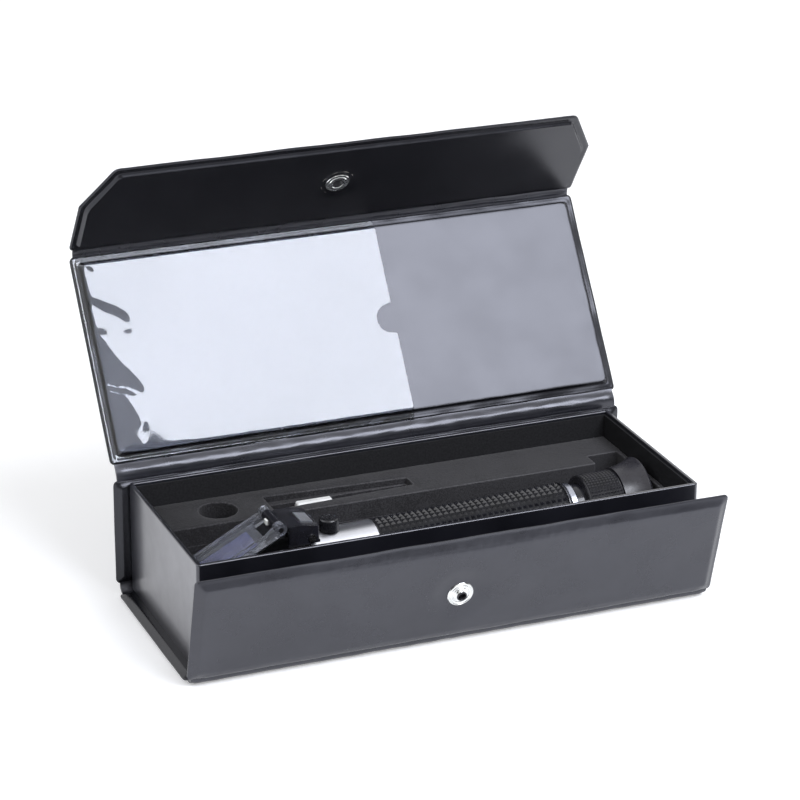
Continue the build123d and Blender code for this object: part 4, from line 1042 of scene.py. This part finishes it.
half_x, half_y = FOAM_X / 2, FOAM_Y / 2
channel_low, channel_high = BODY_Y - CHANNEL_W / 2, BODY_Y + CHANNEL_W / 2
bay_low, bay_high = BODY_Y - BAY_W / 2, BODY_Y + BAY_W / 2
outer_corners = [(-half_x, -half_y), (half_x, -half_y), (half_x, half_y), (-half_x, half_y)]
channel_corners = [
    (-half_x, channel_high), (BAY_X, channel_high), (BAY_X, bay_high), (BAY_END, bay_high),
    (BAY_END, bay_low), (BAY_X, bay_low), (BAY_X, channel_low), (-half_x, channel_low),
]
cut_outline = loop_points(
    outer_corners + channel_corners, [0.8] * 4 + [0.6] * 2 + [0.8] * 4 + [0.6] * 2
)
plain_outline = loop_points(outer_corners, [1.0] * 4, 3.0)
turn = np.linspace(0.0, 2 * math.pi, 48, endpoint=False)
well = np.stack([WELL_X + WELL_R * np.cos(turn), WELL_Y + WELL_R * np.sin(turn)], axis=1)
recess = loop_points(
    [
        (RECESS_LEFT, RECESS_FRONT), (RECESS_RIGHT, RECESS_FRONT + RECESS_TAPER),
        (RECESS_RIGHT, RECESS_BACK - RECESS_TAPER), (RECESS_LEFT, RECESS_BACK),
    ],
    [0.6] * 4,
)
groove_left, groove_right = RECESS_LEFT + GROOVE_IN, RECESS_RIGHT - GROOVE_IN
groove_low, groove_high = GROOVE_Y - GROOVE_W / 2, GROOVE_Y + GROOVE_W / 2
groove = loop_points(
    [
        (groove_left, groove_low), (groove_right, groove_low),
        (groove_right, groove_high), (groove_left, groove_high),
    ],
    [0.5] * 4,
)
recess_pocket = (recess, FOAM_TOP - RECESS_DEEP, [(groove, FOAM_TOP - GROOVE_DEEP)])
cut_foam("foam_top_sheet", cut_outline, [well], FOAM_SEAM, FOAM_TOP, 51.0, [recess_pocket])
cut_foam("foam_middle_sheet", cut_outline, [well], FLOOR_Z, FOAM_SEAM, 52.0)
cut_foam("foam_base_sheet", plain_outline, [], TRAY_FLOOR_Z, FLOOR_Z, 53.0)


# Instrument

axis_line = np.array([cosine(TILT), 0.0, sine(TILT)])
axis_up = np.array([-sine(TILT), 0.0, cosine(TILT)])
axis_back = np.array([0.0, 1.0, 0.0])
axis_origin = np.array([0.0, BODY_Y, AXIS_Z])


def round_grid(profile, rows, tips, high):
    """Closed ring of profiles about the instrument's axis, from (along, radius) points.

    It has three lines for each row round. The tips, stations on every third line, stand higher.
    """
    profile = np.array(profile, dtype=float)
    count = rows * 3
    turn = np.linspace(0.0, 2 * math.pi, count, endpoint=False)
    along = np.repeat(profile[:, :1], count, axis=1)
    radius = np.repeat(profile[:, 1:], count, axis=1)
    on_tip = np.isclose(along[..., None], tips).any(axis=-1) & (np.arange(count) % 3 == 2)
    radius = radius + high * on_tip
    spots = (
        axis_origin
        + along[..., None] * axis_line
        + (radius * np.cos(turn))[..., None] * axis_up
        + (radius * np.sin(turn))[..., None] * axis_back
    )
    index = np.arange(len(profile) * count).reshape(-1, count)
    below, right = np.roll(index, -1, axis=0), np.roll(index, -1, axis=1)
    faces = np.stack([index, right, np.roll(below, -1, axis=1), below], axis=-1)
    return spots.reshape(-1, 3), faces.reshape(-1, 4).tolist()


def low_parts(made, radius, start, end):
    """Gives the faces between two stations that lie within a radius of the axis a matt, darker rubber:
    painted shade in the grooves.
    """
    made.data.materials.append(matt_painted_groove_shade)
    for face in made.data.polygons:
        spot = np.array(face.center) / MM - axis_origin
        along = float(spot @ axis_line)
        if start < along < end and np.linalg.norm(spot - along * axis_line) < radius:
            face.material_index = 1


def marks(start, end, pitch, shares):
    """Stations from start to end, at the given shares of each of its even steps."""
    columns = round((end - start) / pitch)
    step = (end - start) / columns
    return [start + step * (k + share) for k in range(columns) for share in shares] + [end]


stud_start, stud_end = GRIP_LEFT + GRIP_ROOM, GRIP_RIGHT - GRIP_ROOM
stud_marks = marks(stud_start, stud_end, STUD_PITCH, (0.0, 0.30, 0.65))
stud_base = GRIP_R - STUD_HIGH
grip_profile = (
    [
        (GRIP_LEFT + 0.05, GRIP_CORE_R), (GRIP_LEFT + 0.05, GRIP_R - 0.5),
        (GRIP_LEFT + 0.3, GRIP_R - 0.1), (stud_start - 0.45, GRIP_R - 0.1),
        (stud_start - 0.2, stud_base),
    ]
    + [(mark, stud_base) for mark in stud_marks]
    + [
        (stud_end + 0.2, stud_base), (stud_end + 0.45, GRIP_R - 0.1),
        (GRIP_RIGHT - 0.3, GRIP_R - 0.1), (GRIP_RIGHT, GRIP_R - 0.5), (GRIP_RIGHT, GRIP_CORE_R),
    ]
)
grip_points, grip_faces = round_grid(grip_profile, STUD_ROWS, stud_marks[2::3], STUD_HIGH)
grip = piece(
    "grip_sleeve_studded", grip_points, grip_faces, grip_rubber,
    "refractometer", ("grip_sleeve",), 12.0,
)
low_parts(grip, stud_base + 0.2 * STUD_HIGH, stud_start - 0.3, stud_end + 0.3)

knurl_left, knurl_right = RING_LEFT + 0.9, CUP_LEFT - 0.7
knurl_marks = marks(knurl_left, knurl_right, KNURL_PITCH, (0.0, 0.28, 0.64))
ring_profile = (
    [
        (RING_LEFT, RING_BORE_R), (RING_LEFT, RING_R - 0.7),
        (RING_LEFT + 0.25, RING_R - 0.25), (RING_LEFT + 0.6, RING_R - 0.12),
    ]
    + [(mark, RING_R - KNURL_HIGH) for mark in knurl_marks]
    + [
        (CUP_LEFT - 0.45, RING_R - 0.15), (CUP_LEFT - 0.1, RING_R - 0.4),
        (CUP_LEFT - 0.1, RING_NECK_R), (RING_RIGHT, RING_NECK_R), (RING_RIGHT, RING_BORE_R),
    ]
)
ring_points, ring_faces = round_grid(ring_profile, KNURL_ROWS, knurl_marks[2::3], KNURL_HIGH)
ring = piece(
    "diopter_ring_knurled", ring_points, ring_faces, ring_rubber,
    "diopter", ("diopter_ring",), 15.0,
)
low_parts(ring, RING_R - 0.8 * KNURL_HIGH, knurl_left, knurl_right)


# Snap fastener


def turned_piece(name, fold, side, up, body, profile, dark=0):
    """Round nickel piece square to a panel, from a closed loop of (radius, height) points.

    The first few stretches of the loop may be painted dark with the darker steel, as painted shade
    inside a hole.
    """
    count = 64
    turn = np.linspace(0.0, 2 * math.pi, count, endpoint=False)
    points, rings, faces = [], [], []
    for radius, height in profile:
        lines = turn if radius else turn[:1]
        across, along = radius * np.cos(lines), radius * np.sin(lines)
        rings.append(list(range(len(points), len(points) + len(lines))))
        points.extend(fold.points(SNAP_X + across, up + along, side * height))
    loops = list(zip(rings[:-1], rings[1:]))
    if len(rings[0]) > 1:
        loops.append((rings[-1], rings[0]))
    for first, second in loops:
        for k in range(count):
            corners = ((first, k), (first, k + 1), (second, k + 1), (second, k))
            faces.append(tuple(dict.fromkeys(ring[spot % len(ring)] for ring, spot in corners)))
    made = piece(name + "_turned", points, faces, nickel, body, (name,), 30.0)
    made.data.materials.append(dark_steel_and_painted_shade)
    # Painted shade: the first stretches, the inside of the hole, get the darker steel.
    for k in range(dark * count):
        made.data.polygons[k].material_index = 1


turned_piece(
    "snap_stud", FRONT, 1, STUD_UP, "front_panel",
    [
        (0.0, 1.1), (1.40, 1.1), (1.50, 1.3), (1.50, 3.1), (1.58, 3.24), (1.72, 3.28), (1.9, 3.18),
        (2.0, 2.95), (1.95, 2.65), (1.72, 2.35), (1.75, 2.1), (2.2, 1.92), (2.9, 1.86), (3.05, 1.68),
        (3.3, 1.66), (3.45, 1.84), (4.1, 1.88), (4.25, 1.72), (4.45, 1.72), (4.6, 1.88), (4.95, 1.8),
        (5.2, 1.5), (5.2, 1.15), (5.05, 0.95), (4.6, STUD_SEAT), (0.0, STUD_SEAT),
    ],
    dark=8,
)
turned_piece(
    "snap_socket", FLAP, 1, SOCKET_UP, "flap",
    [
        (2.35, SOCKET_SEAT), (2.35, 1.75), (2.5, 1.9), (2.75, 1.98), (3.3, 2.0), (3.65, 1.92),
        (3.8, 1.72), (3.95, 1.62), (4.4, 1.64), (4.75, 1.56), (4.95, 1.35), (5.0, 1.1),
        (4.9, 0.92), (4.6, SOCKET_SEAT),
    ],
)
turned_piece(
    "snap_cap", FLAP, -1, SOCKET_UP, "flap",
    [
        (0.0, 2.62), (1.8, 2.6), (3.6, 2.5), (4.9, 2.34), (5.6, 2.12), (5.95, 1.9), (6.0, 1.76),
        (5.85, 1.72), (1.6, 1.7), (1.6, -0.3), (0.0, -0.3),
    ],
)


# Camera, lights and floor

flat_view = Vector((sine(CAMERA_AZIMUTH), cosine(CAMERA_AZIMUTH), 0.0))
view = flat_view * cosine(CAMERA_ELEVATION) + Vector((0.0, 0.0, sine(CAMERA_ELEVATION)))
level_right = Vector((cosine(CAMERA_AZIMUTH), -sine(CAMERA_AZIMUTH), 0.0))
level_up = level_right.cross(view)
right = level_right * cosine(CAMERA_ROLL) + level_up * sine(CAMERA_ROLL)
upward = right.cross(view)
camera_data = bpy.data.cameras.new("camera")
camera_data.lens = LENS
camera_data.sensor_width = 36.0
camera_data.clip_start = 0.01
camera_data.clip_end = 50.0
camera = placed("camera", camera_data)
turn = Matrix((right, upward, -view)).transposed().to_4x4()
camera.matrix_world = Matrix.Translation(CAMERA_AT) @ turn
bpy.context.scene.camera = camera


def area_light(name, at, target, size, radiance):
    """Rectangular soft light that faces a target, from the brightness of its own face."""
    data = bpy.data.lights.new(name, "AREA")
    data.shape = "RECTANGLE"
    data.size, data.size_y = size
    data.energy = radiance * 4.0 * size[0] * size[1]
    data.color = LIGHT_TINT
    made = placed(name, data)
    made.location = at
    made.rotation_euler = (Vector(target) - Vector(at)).to_track_quat("-Z", "Y").to_euler()


area_light("softbox", SOFTBOX_AT, LID_MIDDLE, SOFTBOX_SIZE, SOFTBOX_RADIANCE)
area_light("fill", FILL_AT, (0.0, 0.0, 0.0), FILL_SIZE, FILL_RADIANCE)

world = bpy.data.worlds.new("studio")
bpy.context.scene.world = world
world.use_nodes = True
tree = world.node_tree
background = tree.nodes["Background"]
strength = mapped(tree, seen_rays(tree), 0.0, 1.0, WORLD_FILL, 1.0, "LINEAR")

# The room is dim low down in front of the object, as reflections show it
heading = tree.nodes.new("ShaderNodeSeparateXYZ")
place = tree.nodes.new("ShaderNodeTexCoord")
tree.links.new(place.outputs["Generated"], heading.inputs["Vector"])
rising = mapped(tree, heading.outputs["Z"], -0.02, 0.12)
high_up = mapped(tree, heading.outputs["Z"], 0.40, 0.58)
to_front = mapped(tree, heading.outputs["Y"], -0.05, -0.45)
mirrored = tree.nodes["Light Path"].outputs["Is Glossy Ray"]
dim = product(tree, rising, to_front, remainder(tree, high_up), mirrored, ROOM_DIM)
tree.links.new(product(tree, strength, remainder(tree, dim)), background.inputs["Strength"])
background.inputs["Color"].default_value = (1.0, 1.0, 1.0, 1.0)

floor_mesh = bpy.data.meshes.new("floor")
reach = FLOOR_SIZE / 2
floor_corners = [(-reach, -reach, 0), (reach, -reach, 0), (reach, reach, 0), (-reach, reach, 0)]
floor_mesh.from_pydata(floor_corners, [], [(0, 1, 2, 3)])
floor = placed("floor", floor_mesh)
paper = Finish(
    "floor_paper", Roughness=0.9, Specular_IOR_Level=0.0, Emission_Color=(1.0, 1.0, 1.0, 1.0)
)
seen = seen_rays(paper.tree)
# Painted shade in reflections: glossy rays see the floor darker further in front of the object, which
# gives the front panel's dark upper band.
painted_far_shade = mapped(paper.tree, paper.axis("Y"), *FLOOR_SHADE_SPAN)
mirrored = paper.tree.nodes["Light Path"].outputs["Is Glossy Ray"]
kept = remainder(paper.tree, paper.product(painted_far_shade, mirrored, FLOOR_DIM))
fibres = paper.spread(paper.clouds(40.0, 4.0), 0.98, 1.0)
paper.colour(paper.product(fibres, kept), (0.0, 0.0, 0.0), (0.89, 0.89, 0.89), 0.0, 1.0)
paper.link(paper.product(seen, FLOOR_GLOW, kept), paper.shader.inputs["Emission Strength"])
floor_mesh.materials.append(paper.material)

bpy.context.scene.view_settings.view_transform = "Standard"
